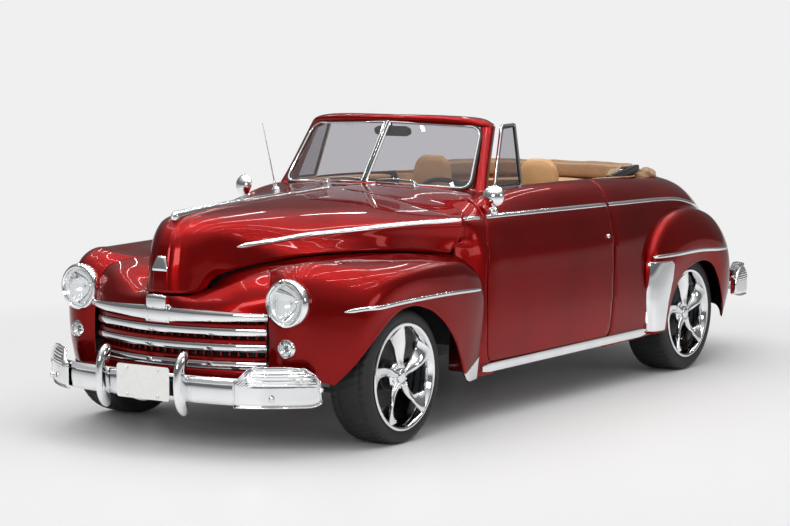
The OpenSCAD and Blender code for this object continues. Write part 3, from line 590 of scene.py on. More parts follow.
rearFenderSkin = Skin(rowsOf("""
810,2390,255 886,2412,255 906,2470,258 906,2545,262
812,2377,450 893,2402,450 918,2480,450 908,2604,420
806,2397,660 892,2430,680 926,2560,620 911,2705,541
792,2502,800 880,2545,812 929,2690,705 913,2830,598
772,2672,880 868,2715,884 931,2850,742 914,2965,618
752,2870,905 858,2900,903 930,2990,745 914,3080,592
732,3060,888 845,3085,884 925,3130,720 912,3162,520
705,3240,838 825,3265,834 912,3270,660 908,3222,425
672,3410,752 790,3435,742 885,3375,580 900,3264,340
636,3560,610 745,3565,600 850,3445,450 888,3292,290
615,3630,420 705,3620,405 805,3490,340 872,3315,262
610,3625,300 690,3595,295 770,3495,278 862,3330,258"""))
widest = 923.8  # the rear fenders end here, so that the car keeps its width with their spears on
rearFenderSkin.rows[..., 0] = np.minimum(rearFenderSkin.rows[..., 0], widest)
ledgeRows = np.array(rowsOf("""
0,-692,640 90,-688,640 200,-672,636 310,-645,631 415,-602,624 499,-558,615
0,-688,670 90,-680,670 195,-655,676 305,-625,684 408,-588,690 495,-542,702
0,-682,688 85,-672,688 170,-634,694 270,-592,730 376,-550,762 470,-492,780
0,-676,695 68,-666,695 134,-622,697 198,-552,728 295,-494,784 398,-415,812
0,-664,697 55,-654,697 104,-616,693 140,-553,698 212,-464,778 313,-345,814"""))
ledgeRows[:, 5] = frontFenderSkin.rows[3:8, 0] - np.array([1.5, 1, 0])  # it meets the fenders' inner edge
ledgeSkin = Skin(ledgeRows, whole=True)
wallDepth = np.array([(0, 0, 22), (0, 0, 22), (25, 0, 34), (62, 0, 48), (76, 0, 16), (82, 0, 4), (84, 0, 0),
                      (86, 0, 0), (80, 0, 0)], float)  # from the skin in to the trim, centreline to sill
liningRows = bodySkin.rows.copy()
liningRows[:, 8:] -= wallDepth
liningRows[:, :8] -= wallDepth[:0:-1] * np.array([-1, 1, 1])
liningSkin = Skin(liningRows)

panels = {"gap": 8, "metal": 1.6, "doorCorner": 45, "jamb": 70, "lip": (2, 9), "flange": (34, 12),
          "lidHalf": 1.95, "lidCorner": 60, "lidMiddle": 8.57, "lidReach": 2.405, "lidCells": (255, 250),
          "stripHeight": 4.0, "stripHalf": 44, "rearArch": 358, "lampHole": 98, "parkHole": 36}
doorFront = np.stack([bend([757, 745, 750, 784, 838, 935], np.linspace(0, 5, 26)),
                      bend([290, 400, 600, 820, 957, 1200], np.linspace(0, 5, 26))], 1)
doorRear = [(2092, 1200), (2068, 1000), (1968, 290)]
doorLine = rounded([doorFront[0], *doorFront[4:], *doorRear], panels["doorCorner"], 6)
doorGap, insideDoor = outside(grown(doorLine, panels["gap"])), outside(doorLine)
cockpitHalf = bend([(648, 900), (650, 1600), (640, 2300), (585, 2760), (400, 2990), (0, 3040)],
                   np.linspace(0, 5, 26))
cockpitLine = [tuple(p) for p in cockpitHalf] + [(-x, y) for x, y in cockpitHalf[-2::-1]]
screenLine = [(-592, 1062), (-556, 1024), (0, 918), (556, 1024), (592, 1062), (600, 1300), (-600, 1300)]
lined = {"more": [seal], "mods": wall(panels["metal"], lined=True)}  # underseal on the inner side


def clearOfDoors(p, u, v):
    return np.maximum(doorGap(p), 650 - abs(p[:, 0]))


def clearOf(outline, low=960):  # an opening seen from above, for skins higher than low
    past = outside(outline, (0, 1))
    return lambda p, u, v: np.maximum(past(p), low - p[:, 2])


def clearOfSills(p, u, v):
    return np.maximum(np.maximum(500 - abs(p[:, 0]), 800 - p[:, 1]), p[:, 2] - 290)


def clearOfWheel(y, z, r, deep):
    return lambda p, u, v: np.maximum(np.hypot(p[:, 1] - y, p[:, 2] - z) - r, deep - abs(p[:, 0]))


def holeFor(x, z, r, behind):  # a round hole in a fender's nose, for a lamp
    return lambda p, u, v: np.where(p[:, 1] < behind, np.hypot(p[:, 0] - x, p[:, 2] - z) - r, 99)


def lidField(spare):  # distance inside the deck lid's outline, with round corners
    def distance(p, u, v):
        (long, wide), r = panels["lidCells"], panels["lidCorner"]
        x = abs(v - 8) * wide - panels["lidHalf"] * wide + r - spare
        y = abs(u - panels["lidMiddle"]) * long - panels["lidReach"] * long + r - spare
        return r - np.hypot(np.maximum(x, 0), np.maximum(y, 0)) - np.minimum(np.maximum(x, y), 0)
    return distance


def jambIn(co, normal):  # door openings turn straight in across the wall
    y = (co.y - axleY) / mm
    if abs(co.x) > 0.65 and 700 < y < 2110 and co.z > 0.24:
        return Vector((-math.copysign(panels["jamb"] * mm, co.x), 0, 0))
    return None


def hoodRelief(p, u, v):  # the raised strip over the middle, and its two creases
    half = panels["stripHalf"] - 2.2 * u
    step = np.clip((half - abs(p[:, 0])) / 7, 0, 1)
    outer = np.clip(1 - abs(abs(p[:, 0]) - half * 2.1) / 9, 0, 1)
    outer = outer * np.clip(u / 1.5, 0, 1) * np.clip(5.5 - u, 0, 1)
    return panels["stripHeight"] * step * step * (3 - 2 * step) + 1.6 * outer


def towardsMiddle(s, t):
    return s, 0.5 + (t - 0.5) * (0.35 + 0.65 * abs(2 * t - 1))


def hoodLip(co, normal):  # the hood's long edges turn straight down
    if abs(normal.z) < 0.9 and co.y - axleY < 0.63:
        inward, drop = panels["lip"]
        return Vector((-math.copysign(inward * mm, co.x), 0, -drop * mm))
    return None


def fenderFlange(co, normal):  # the fender's inner edge runs on under the hood
    y, z = (co.y - axleY) / mm, co.z / mm
    if z > 800 and y > -480:
        inward, drop = panels["flange"]
        return Vector((-math.copysign(inward * mm, co.x), 0, -drop * mm))
    return None


doors = ("door_left", "door_right")
hoodMesh = skinPanel(hoodSkin, (0, 8.97), (0, 10), (118, 102), relief=hoodRelief, hemWay=hoodLip,
                     spread=towardsMiddle)
finishPiece("hoodSkin", hoodMesh, paint, "hood", replaces="hood", **lined)
cowlMesh = skinPanel(bodySkin, (0.05, 2.28), (0, 16), (54, 200),
                     [clearOfDoors, clearOf(screenLine), clearOfSills], hemWay=jambIn)
finishPiece("cowlSkin", cowlMesh, paint, replaces="cowl", **lined)
rearMesh = skinPanel(bodySkin, (3.68, 12), (0, 16), (132, 154),
                     [clearOfDoors, clearOf(cockpitLine), clearOfWheel(2896, 322, panels["rearArch"], 600),
                      lambda p, u, v: -lidField(panels["gap"])(p, u, v)], hemWay=jambIn)
finishPiece("rearBodySkin", rearMesh, paint, replaces=["quarter_left", "quarter_right", "tail_panel"], **lined)
lidUs = (panels["lidMiddle"] - panels["lidReach"], panels["lidMiddle"] + panels["lidReach"])
lidVs = (8 - panels["lidHalf"], 8 + panels["lidHalf"])
lidMesh = skinPanel(bodySkin, lidUs, lidVs, (80, 68), [lidField(0)])
finishPiece("deckLidSkin", lidMesh, paint, "deck_lid", replaces="deck_lid", **lined)
doorMesh = skinPanel(bodySkin, (0.75, 4.25), (10.72, 16), (100, 58), [lambda p, u, v: -insideDoor(p)])
bothSides("doorSkin", doorMesh, paint, doors, replaces=["door"], **lined)
holes = [holeFor(608, 679, panels["lampHole"], -380), holeFor(611, 480, panels["parkHole"], -450)]
fenderMesh = skinPanel(frontFenderSkin, (0, 15), (0, 4), (118, 58), holes, hemWay=fenderFlange)
bothSides("frontFender", fenderMesh, paint, replaces=["front_fender"], **lined)
rearFenderMesh = skinPanel(rearFenderSkin, (0, 11), (0, 3), (104, 48))
bothSides("rearFender", rearFenderMesh, paint, replaces=["rear_fender"], **lined)
ledgeMesh = skinPanel(ledgeSkin, (0, 4), (0, 10), (28, 90), hem=(1.0, 5))
finishPiece("noseLedge", ledgeMesh, paint, replaces="nose_panel", **lined)
print("painted panels made")


def unit(a):
    return a / np.maximum(np.linalg.norm(a, axis=-1, keepdims=True), 1e-9)


def lofted(rings, loop=False):  # closed rings of points, (rings, points, 3) in metres, as one closed skin
    n, m = len(rings) - (not loop), rings.shape[1]
    bm, s, t = laid(n, m)
    settle(bm, rings[np.rint(s * n).astype(int) % len(rings), np.rint(t * m).astype(int) % m])
    return seamless(bm, not loop)


def sweep(path, ups, section, taper=1.0, closed=False):
    # a closed section, (side, up) in mm, carried along a path; taper scales it at each point
    path, section = np.array(path, float), np.array(section, float)
    n = len(path)
    tangent = unit(np.roll(path, -1, 0) - np.roll(path, 1, 0) if closed else np.gradient(path, axis=0))
    side = unit(np.cross(tangent, np.broadcast_to(np.array(ups, float), path.shape)))
    up = np.cross(side, tangent)
    taper = np.array(taper, float)
    scale = np.broadcast_to(taper.reshape(n, -1) if taper.ndim else taper, (n, 2))
    form = np.broadcast_to(section, (n, *section.shape[-2:])) * scale[:, None]
    return lofted(place(path[:, None] + side[:, None] * form[..., :1] + up[:, None] * form[..., 1:]), closed)


def oval(w, h, n=16, square=2.0):
    a = np.linspace(0, 2 * math.pi, n, endpoint=False)
    sides = ((np.cos(a), w), (np.sin(a), h))
    return np.stack([np.sign(k) * abs(k) ** (2 / square) * size / 2 for k, size in sides], 1)


def halfRound(w, h):  # a moulding's section, its foot sunk 3 mm
    return np.array([(-w / 2, -3), (w / 2, -3), (w / 2, h * 0.25), (w * 0.44, h * 0.62), (w * 0.3, h * 0.88),
                     (0, h), (-w * 0.3, h * 0.88), (-w * 0.44, h * 0.62), (-w / 2, h * 0.25)])


def ends(n, first=0.35, last=0.35, reach=3):  # a taper that closes the ends of a sweep
    k = np.ones(n)
    ramp = np.sin(np.linspace(0, math.pi / 2, reach + 1))[:-1]
    if first is not None:
        k[:reach] = first + (1 - first) * ramp
    if last is not None:
        k[-reach:] = (last + (1 - last) * ramp)[::-1]
    return k


def nearest(skin, points, us=None, vs=None):  # the skin's own u and v next to some points
    us, vs = us or (0, skin.lastU), vs or (skin.lastV / 2, skin.lastV)
    u, v = [g.ravel() for g in np.meshgrid(np.linspace(*us, 150), np.linspace(*vs, 90), indexing="ij")]
    net, points = skin.points(u, v), np.array(points, float)
    found = [((net - p) ** 2).sum(1).argmin() for p in points]
    u, v = u[found], v[found]
    for _ in range(8):
        along, across = skin.slopes(u, v)
        gap = points - skin.points(u, v)
        a, b, c = (along ** 2).sum(1), (along * across).sum(1), (across ** 2).sum(1)
        d, e = (gap * along).sum(1), (gap * across).sum(1)
        whole = np.maximum(a * c - b * b, 1e-3)
        u = np.clip(u + np.clip((c * d - b * e) / whole, -0.3, 0.3), *us)
        v = np.clip(v + np.clip((a * e - b * d) / whole, -0.3, 0.3), *vs)
    return u, v


def hug(skin, points, count, lift=0.0, vs=None):  # a smooth line laid on a skin, and its outward ways
    knots = np.array(points, float)
    run = np.r_[0, np.cumsum(np.linalg.norm(np.diff(knots, axis=0), axis=1))]
    along = np.interp(np.linspace(0, run[-1], count), run, np.arange(len(knots)))
    u, v = nearest(skin, bend(knots, along), vs=vs)
    way = skin.normals(u, v)
    return skin.points(u, v) + way * lift, way


def spun(profile, middle, axis, side, steps, fill=False):  # (radius, along) in mm, spun round an axis
    bm = bmesh.new()
    verts = [bm.verts.new(middle + side * r * mm + axis * d * mm) for r, d in profile]
    edges = [bm.edges.new(pair) for pair in zip(verts, verts[1:])]
    bmesh.ops.spin(bm, geom=verts + edges, cent=middle, axis=axis, dvec=(0, 0, 0), angle=2 * math.pi,
                   steps=steps, use_merge=True)
    return seamless(bm, fill)


def turned(profile, centre, axis, steps=64):
    axis = Vector(axis).normalized()
    return spun(profile, at(*centre), axis, axis.orthogonal().normalized(), steps)


def joined(*parts):  # several meshes as one
    whole = bmesh.new()
    for part in parts:
        mesh = bpy.data.meshes.new("part")
        part.to_mesh(mesh)
        part.free()
        whole.from_mesh(mesh)
        bpy.data.meshes.remove(mesh)
    return whole


def ball(centre, radii, segments=20):
    bm = bmesh.new()
    bmesh.ops.create_uvsphere(bm, u_segments=segments, v_segments=segments // 2, radius=1)
    bmesh.ops.scale(bm, vec=[r * mm for r in radii], verts=bm.verts)
    bmesh.ops.translate(bm, vec=at(*centre), verts=bm.verts)
    return bm


def evened(line, count, loop=False):  # a line with its points evenly spaced, and its length
    line = np.concatenate([line, line[:1]]) if loop else np.array(line, float)
    run = np.r_[0, np.cumsum(np.linalg.norm(np.diff(line, axis=0), axis=1))]
    along = np.linspace(0, run[-1], count, endpoint=not loop)
    return np.stack([np.interp(along, run, column) for column in line.T], 1), run[-1]


moulding = {"width": 24, "height": 9, "fenderWidth": 20, "fenderHeight": 8, "rearShare": 0.62,
            "guardLift": 3.0, "guardHem": (3, 3.2), "footHem": (2.5, 3.2)}
section = halfRound(moulding["width"], moulding["height"])
belt = [(762, 672, 987), (764, 760, 989), (772, 863, 986), (782, 1573, 983), (785, 2213, 977), (778, 2797, 966),
        (768, 3060, 930), (728, 3255, 888), (692, 3440, 790)]


def mouldingOn(skin, points, count, form, first, last, lift=0.0, vs=None):
    line, way = hug(skin, points, count, lift, vs)
    return sweep(line, way, form, ends(count, first, last))


def beltMoulding(name, keep, bodies=("body",), last=0.8):
    path, out = hug(bodySkin, belt, 400)
    kept = keep(path)
    path, out = path[kept][::3], out[kept][::3]
    bothSides(name, sweep(path, out, section, ends(len(path), 0.8, last)), chrome, bodies)


hoodLine = [(240, -428, 904), (304, -325, 919), (431, -64, 950), (587, 281, 969), (761, 648, 986)]
bothSides("hoodMoulding", mouldingOn(hoodSkin, hoodLine, 70, section, 0.2, 0.8), chrome, ("hood",))
beltMoulding("cowlMoulding", lambda p: (doorGap(p) > 2) & (p[:, 1] < 1200))
beltMoulding("doorMoulding", lambda p: insideDoor(p) < -3, doors)
beltMoulding("rearMoulding", lambda p: (doorGap(p) > 2) & (p[:, 1] > 1500), last=0.2)
spear = halfRound(moulding["fenderWidth"], moulding["fenderHeight"])
frontLine = [(812, -390, 642), (880, -230, 652), (903, -82, 659), (914, 315, 666), (868, 672, 655)]
bothSides("fenderSpear", mouldingOn(frontFenderSkin, frontLine, 70, spear, 0.2, 0.3, vs=(0, 4)), chrome)
rearLine = [(891, 2420, 674), (929, 2777, 679), (929, 3000, 676), (896, 3314, 662)]
flatter = spear * np.array([1, moulding["rearShare"]])
bothSides("rearFenderSpear", mouldingOn(rearFenderSkin, rearLine, 50, flatter, 0.5, 0.3, vs=(0, 3)), chrome)


def shieldField(p, u, v):  # the stone guard's outline on the rear fender's leading edge
    right = np.interp(p[:, 2], [262, 330, 430, 540, 625, 651], [2520, 2535, 2556, 2592, 2598, 2570])
    left = np.interp(p[:, 2], [262, 450, 651], [2399, 2390, 2408])
    return np.minimum(np.minimum(right - p[:, 1], p[:, 1] - left + 6), np.minimum(648 - p[:, 2], p[:, 2] - 268))


def footField(p, u, v):
    return np.minimum(332 - p[:, 2] + (p[:, 1] - 660) * 0.35, p[:, 1] - 470)


def raised(p, u, v):  # bright plates stand this far off the paint
    return np.full(len(p), moulding["guardLift"])


shield = skinPanel(rearFenderSkin, (0, 3.2), (0.55, 3), (90, 60), [shieldField], raised, moulding["guardHem"])
bothSides("stoneGuard", shield, chrome)
foot = skinPanel(frontFenderSkin, (13.2, 15), (1.2, 4), (50, 60), [footField], raised, moulding["footHem"])
bothSides("fenderFoot", foot, chrome)
rocker = np.array([(-14, 26), (6, 22), (9, 0), (5, -20), (-14, -24)])
line = [(862, y, 262 + (y - 700) * 0.004) for y in np.linspace(690, 2384, 60)]
bothSides("rockerStrip", sweep(line, (0, 0, 1), rocker, ends(60, 0.6, 0.6)), chrome)
print("mouldings made")

grille = {"radius": 1000, "angle": 30.2, "barHeights": (541, 470, 391), "barHeight": 34, "topHeight": 612,
          "topBar": 66, "lowest": 335, "valance": 346}


def grilleArc(r, half, z, count=90):
    a = np.radians(np.linspace(-half, half, count))
    return np.stack([r * np.sin(a), 310 - r * np.cos(a), np.full(count, z)], 1)


def barSection(h, deep):
    a = np.radians([-84, -66, -40, -14, 14, 40, 66, 84])
    face = [(np.cos(k) ** 0.45 * h * 0.24 - h * 0.02, np.sin(k) * h * 0.5) for k in a]
    return np.array([(-deep, -h * 0.36), *face, (-deep, h * 0.36)])


bars = []
for z in grille["barHeights"]:
    path = grilleArc(grille["radius"] - 16, grille["angle"], z)
    bars.append(sweep(path, (0, 0, 1), barSection(grille["barHeight"], 22), ends(90, 0.9, 0.9, 1)))
path = grilleArc(grille["radius"] + 2, grille["angle"] + 0.4, grille["topHeight"])
height = np.interp(abs(path[:, 0]), [0, 62, 70, 110, 500], [1.28, 1.28, 1.0, 0.94, 0.52])
topTaper = np.stack([np.ones(90), height], 1) * ends(90, 0.86, 0.86, 1)[:, None]
bars.append(sweep(path, (0, 0, 1), barSection(grille["topBar"], 26), topTaper))
finishPiece("grilleBars", joined(*bars), chrome, replaces="grille_bars")
louvres = [sweep(grilleArc(grille["radius"] - 34, grille["angle"] - 0.3, z + 27), (0, 0, 1),
                 oval(34, 22, 14, 4)) for z in (*grille["barHeights"], grille["lowest"])]
finishPiece("grilleLouvres", joined(*louvres), paint)
centre = grilleArc(grille["radius"] + 5, 4.0, grille["topHeight"], 24)
collar = sweep(centre, (0, 0, 1), barSection(74, 20), ends(24, 0.9, 0.9, 2))
ringArc = grilleArc(grille["radius"] + 8, 0.35, grille["topHeight"], 6)
rings = [sweep(ringArc + np.array([s * 62, 3, 0]), (0, 0, 1), barSection(84, 26), ends(6, 0.94, 0.94, 2))
         for s in (-1, 1)]
finishPiece("grilleCollar", joined(collar, *rings), chrome)
badge = sweep([(-54, -702, 664), (-34, -705, 665), (0, -707, 666), (34, -705, 665), (54, -702, 664)], (0, 0, 1),
              oval(34, 66, 24, 3.4), ends(5, 0.86, 0.86, 1))
finishPiece("noseBadgeBare", badge, chrome)
crestLine = bend([(0, -672, 868), (0, -678, 848), (0, -683, 824), (0, -687, 802)], np.linspace(0, 3, 20))
crestWide = np.interp(np.linspace(0, 1, 20), [0, 0.3, 0.75, 1], [0.55, 0.7, 1.0, 1.0])
crest = sweep(crestLine, (0, -1, 0), halfRound(86, 8), np.stack([crestWide, ends(20, 0.4, 0.4, 3)], 1))
finishPiece("hoodCrestBare", crest, chrome, "hood")
valanceLine = grilleArc(grille["radius"] - 12, grille["angle"] + 1.2, grille["valance"])
finishPiece("frontValance", sweep(valanceLine, (0, 0, 1), oval(20, 48, 16, 4)), paint)

ornament = {"start": -600, "length": 555, "low": 1034, "rise": 54, "nose": 0.045}
t = np.linspace(0, 1, 60)
ridge = np.stack([t * 0, ornament["start"] + ornament["length"] * t,
                  ornament["low"] + ornament["rise"] * t ** 0.85], 1)
bulk = np.stack([np.interp(t, [0, 0.05, 0.3, 1], size) for size in ([17, 20, 15, 6], [24, 28, 22, 6])], 1)
bulk = bulk * np.sqrt(np.clip(1 - np.clip(1 - t / ornament["nose"], 0, 1) ** 2, 0.03, 1))[:, None]
finishPiece("hoodOrnament", sweep(ridge, (0, 0, 1), oval(2, 2, 24, 2.3), bulk), chrome, "hood")
middleLine = [(0, -560, 1022), (0, -350, 1060), (0, -60, 1078), (0, 290, 1094), (0, 648, 1109)]
strip = mouldingOn(hoodSkin, middleLine, 80, halfRound(15, 6), 0.3, 0.5, panels["stripHeight"], (5, 5.01))
finishPiece("hoodCentreStrip", strip, chrome, "hood")
print("grille and nose made")

bumper = {"rib": 1.9, "ribPitch": 12.5, "plate": (305, 152), "plateCorner": 14, "plateRim": 6,
          "plateSink": 1.8, "plateWall": 2.2, "stud": (88.9, 60.3)}
frontBar = [(0, -806), (230, -802), (420, -780), (550, -734), (650, -668), (730, -595), (786, -530)]
rearBar = [(0, 4136), (230, 4132), (430, 4108), (570, 4066), (670, 4006), (733, 3925), (757, 3820), (762, 3700)]
bladeSection = np.array([(-22, -59), (-12, -60), (-5, -53), (-1.5, -38), (0, -14), (0, 6), (-1.5, 24), (-3, 30),
                         (0, 35), (-1, 48), (-7, 56), (-14, 60), (-22, 59), (-25, 52), (-25, -52)])


def barPath(points, z, count=120):
    k = np.linspace(-(len(points) - 1), len(points) - 1, count)
    half = bend(points, abs(k))
    return np.stack([half[:, 0] * np.sign(k), half[:, 1], np.full(count, z)], 1)


def eased(t):
    return t * t * (3 - 2 * t)


def cornerGuard(points, low, high, start, top, sign):
    # a ribbed cover over the bar's end, standing above it; sign is -1 at the front, 1 at the rear
    bm, s, t = laid(34, 60)
    last = len(points) - 1
    k = start + (last - start) * s
    run = unit(bend(points, np.minimum(k + 0.03, last)) - bend(points, np.maximum(k - 0.03, 0)))
    out = np.stack([run[:, 1], -run[:, 0]], 1) * (1 if sign < 0 else -1)
    end = np.sqrt(np.clip(1 - np.clip((s - 0.52) / 0.48, 0, 1) ** 2.6, 0, 1))
    base = low - 3 + 26 * (1 - np.sqrt(np.clip(1 - np.clip((s - 0.8) / 0.2, 0, 1) ** 2, 0, 1)))
    peak = low + (top - low) * (0.66 + 0.34 * eased(np.clip(s / 0.2, 0, 1))) * (0.46 + 0.54 * end)
    z = base + (peak - base) * t
    rise = np.clip((z - high + 34) / (top - high + 34), 0, 1)
    ribs = bumper["rib"] * np.maximum(np.cos((z - high + 26) * 2 * math.pi / bumper["ribPitch"]), -0.5)
    ribs = ribs * (rise > 0) * np.clip(s / 0.1, 0, 1)
    face = 7 + ribs - 34 * rise ** 2.4 - 14 * np.clip((base + 22 - z) / 22, 0, 1) ** 2
    settle(bm, place(np.column_stack([bend(points, k) + out * face[:, None], z])))
    if sign > 0:
        bmesh.ops.reverse_faces(bm, faces=bm.faces)
    rollEdges(bm, 2.0, 14)
    return bm


def overrider(x, y, low, high, sign):
    t = np.linspace(0, 1, 44)
    away = abs(2 * t - 1)
    path = np.stack([np.full(44, x), y + 12 * sign - sign * 46 * away ** 3.2, low + (high - low) * t], 1)
    swell = np.sqrt(np.clip(1 - away ** 7, 0.02, 1))
    form = oval(72, 54, 30, 2.4)
    form[:, 1] *= 0.82 - 0.18 * np.sign(sign) * form[:, 0] / 36
    return sweep(path, (1, 0, 0), form, np.stack([swell * (0.82 + 0.18 * (1 - away)), swell], 1))


blade = sweep(barPath(frontBar, 300), (0, 0, 1), bladeSection, ends(120, 0.85, 0.85, 2))
finishPiece("frontBumperBar", blade, chrome, replaces="front_bumper")
heavy = wall(2, lined=True)
bothSides("frontCornerGuard", cornerGuard(frontBar, 240, 360, 2.4, 410, -1), chrome, mods=heavy)
bothSides("frontOverrider", overrider(227, -816, 180, 461, -1), chrome)
blade = sweep(barPath(rearBar, 400), (0, 0, 1), bladeSection * np.array([-1, 1]), ends(120, 0.85, 0.85, 2))
finishPiece("rearBumperBar", blade, chrome, replaces="rear_bumper")
bothSides("rearCornerGuard", cornerGuard(rearBar, 340, 460, 2.6, 510, 1), chrome, mods=heavy)
bothSides("rearOverrider", overrider(240, 4122, 300, 520, 1), chrome)
arms = [sweep([(370, -758, 290), (370, -570, 290)], (0, 0, 1), oval(44, 50, 12, 5)),
        sweep([(370, 3850, 372), (370, 4086, 372)], (0, 0, 1), oval(44, 40, 12, 5))]
bothSides("bumperArm", joined(*arms), frameBlack)
bolts = [turned([(0, 9), (8, 8), (12, 4), (13.5, 0), (13.5, -14)], (x, y, z), (a, b, 0), 24)
         for x, y, z, a, b in ((646, -706, 276, 0.75, -1), (640, 4040, 376, 0.6, 1))]
bothSides("bumperBolt", joined(*bolts), chrome)


def blankPlate(name, x, y, z, facing):
    wide, high = bumper["plate"]
    bm = bmesh.new()
    bmesh.ops.create_grid(bm, x_segments=1, y_segments=1, size=0.5)
    bmesh.ops.scale(bm, vec=(wide * mm, high * mm, 1), verts=bm.verts)
    bmesh.ops.bevel(bm, geom=bm.verts, offset=bumper["plateCorner"] * mm, segments=5, profile=0.5,
                    affect="VERTICES", material=-1)
    bmesh.ops.inset_region(bm, faces=bm.faces, thickness=bumper["plateRim"] * mm)
    inner = [f for f in bm.faces if len(f.verts) > 4]
    bmesh.ops.translate(bm, vec=(0, 0, -bumper["plateSink"] * mm),
                            verts=list({v for f in inner for v in f.verts}))
    bmesh.ops.solidify(bm, geom=bm.faces, thickness=bumper["plateWall"] * mm)
    turn = Matrix.Rotation(math.radians(90 * facing), 4, "X")
    bmesh.ops.transform(bm, matrix=Matrix.Translation(at(x, y, z)) @ turn, verts=bm.verts)
    finishPiece(name, bm, plateWhite, outward=True)
    across, over = bumper["stud"]
    spots = [(x + sx * across, y, z + sz * over) for sx in (-1, 1) for sz in (-1, 1)]
    studs = [turned([(0, -6), (5, -5.4), (7, -3), (7, 3)], spot, (0, facing, 0), 18) for spot in spots]
    finishPiece(name + "Bolts", joined(*studs), chrome)


blankPlate("frontPlate", 24, -841, 316, 1)
bracket = sweep([(-120, -831, 316), (168, -831, 316)], (0, 0, 1), oval(8, 138, 16, 6))
finishPiece("plateBracket", bracket, frameBlack)
print("bumpers made")

lamp = {"head": (608, -549, 679), "lensGap": 4, "lens": 92, "flutes": 11, "park": (611, -552, 480),
        "parkLens": 35, "tail": (590, 3692, 716), "tailTurn": -32, "tailTilt": -52, "tailSize": (136, 60)}
toNose = (0, -1, 0)


def flutedLens(centre, r, dome, ribs, depth):
    bm, k, t = laid(22, 80)
    a = t * 2 * math.pi
    x, z = np.cos(a) * r * k, np.sin(a) * r * k
    wave = depth * np.cos(x / r * ribs * math.pi) * np.clip((0.86 - k) / 0.1, 0, 1)
    y = wave - dome * (1 - k ** 2)
    settle(bm, place(np.stack([centre[0] + x, centre[1] + y, centre[2] + z], 1)))
    seamless(bm)
    if sum(f.normal.y for f in bm.faces) > 0:
        bmesh.ops.reverse_faces(bm, faces=bm.faces)
    return bm


bezel = turned([(89, 0), (91, 9), (97, 14), (104, 12), (110, 3), (111.5, -8), (111, -26), (107, -36),
                (103, -50), (102, -92)], lamp["head"], toNose, 96)
lampRim, _ = bothSides("headlampBezel", bezel, chrome, mods=wall(1.2))
x, y, z = lamp["head"]
bothSides("headlampLens", flutedLens((x, y - lamp["lensGap"], z), lamp["lens"], 15, lamp["flutes"], 0.8), lens,
          mods=wall(3))
bowl = turned([(r, -66 + 66 * (r / 91) ** 2) for r in (0, 12, 26, 40, 54, 68, 80, 91)], lamp["head"], toNose)
bothSides("headlampBowl", bowl, chrome, mods=wall(1.2, 1))
bulb = turned([(0, -22), (7, -24), (11, -30), (11, -40), (8, -50), (8, -66)], lamp["head"], toNose, 24)
bothSides("headlampBulb", bulb, chrome)
x, y, z = lamp["park"]
parkRing = turned([(33, 6), (37, 12), (42, 10), (46, 2), (46, -8), (40, -14), (36, -20), (36, -44)],
                  lamp["park"], toNose)
bothSides("parkLampBezel", parkRing, chrome, mods=wall(1))
bothSides("parkLampLens", flutedLens((x, y - 7, z), lamp["parkLens"], 12, 7, 0.7), lens, mods=wall(3))
parkBowl = turned([(0, -34), (14, -32), (26, -20), (35, 2)], lamp["park"], toNose, 40)
bothSides("parkLampBowl", parkBowl, chrome, mods=wall(1, 1))


def tailShape(wide, deep, low, high, crown):  # an oval dome or rim, standing on the fender's back
    turn = Matrix.Translation(at(*lamp["tail"])) @ Matrix.Rotation(math.radians(lamp["tailTurn"]), 4, "Z")
    turn = turn @ Matrix.Rotation(math.radians(lamp["tailTilt"]), 4, "X")
    k = np.linspace(0, 1, 11)
    reach = np.where(k < 0.3, 1.0, 1 - (k - 0.3) / 0.7)[:, None]
    z = np.where(k < 0.3, low + (high - low) * k / 0.3, high + crown * (1 - reach[:, 0] ** 2))
    ring = oval(*lamp["tailSize"], 64, 2.2)
    rings = np.stack([ring[:, 0] * wide * reach, ring[:, 1] * deep * reach, np.repeat(z[:, None], 64, 1)], 2)
    bm = lofted(rings * mm)
    bmesh.ops.transform(bm, matrix=turn, verts=bm.verts)
    bmesh.ops.recalc_face_normals(bm, faces=bm.faces)
    return bm


tailRim, _ = bothSides("tailLampRim", tailShape(1.0, 1.0, -16, 8, 0), chrome)
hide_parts("tail_lamps")
bothSides("tailLampLens", tailShape(0.84, 0.82, 6, 17, 9), tailGlass)
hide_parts("front_lamps")
print("lamps made")

wheel = {"rimRadius": 246, "spokes": 5, "twist": 44, "sweep": 15, "treadPitch": 54, "grooveDepth": 7,
         "nuts": 5, "nutCircle": 50,
         "ends": {"front": (0, 311, 218, 767), "rear": (2896, 322, 240, 743)}}  # y, radius, width and x


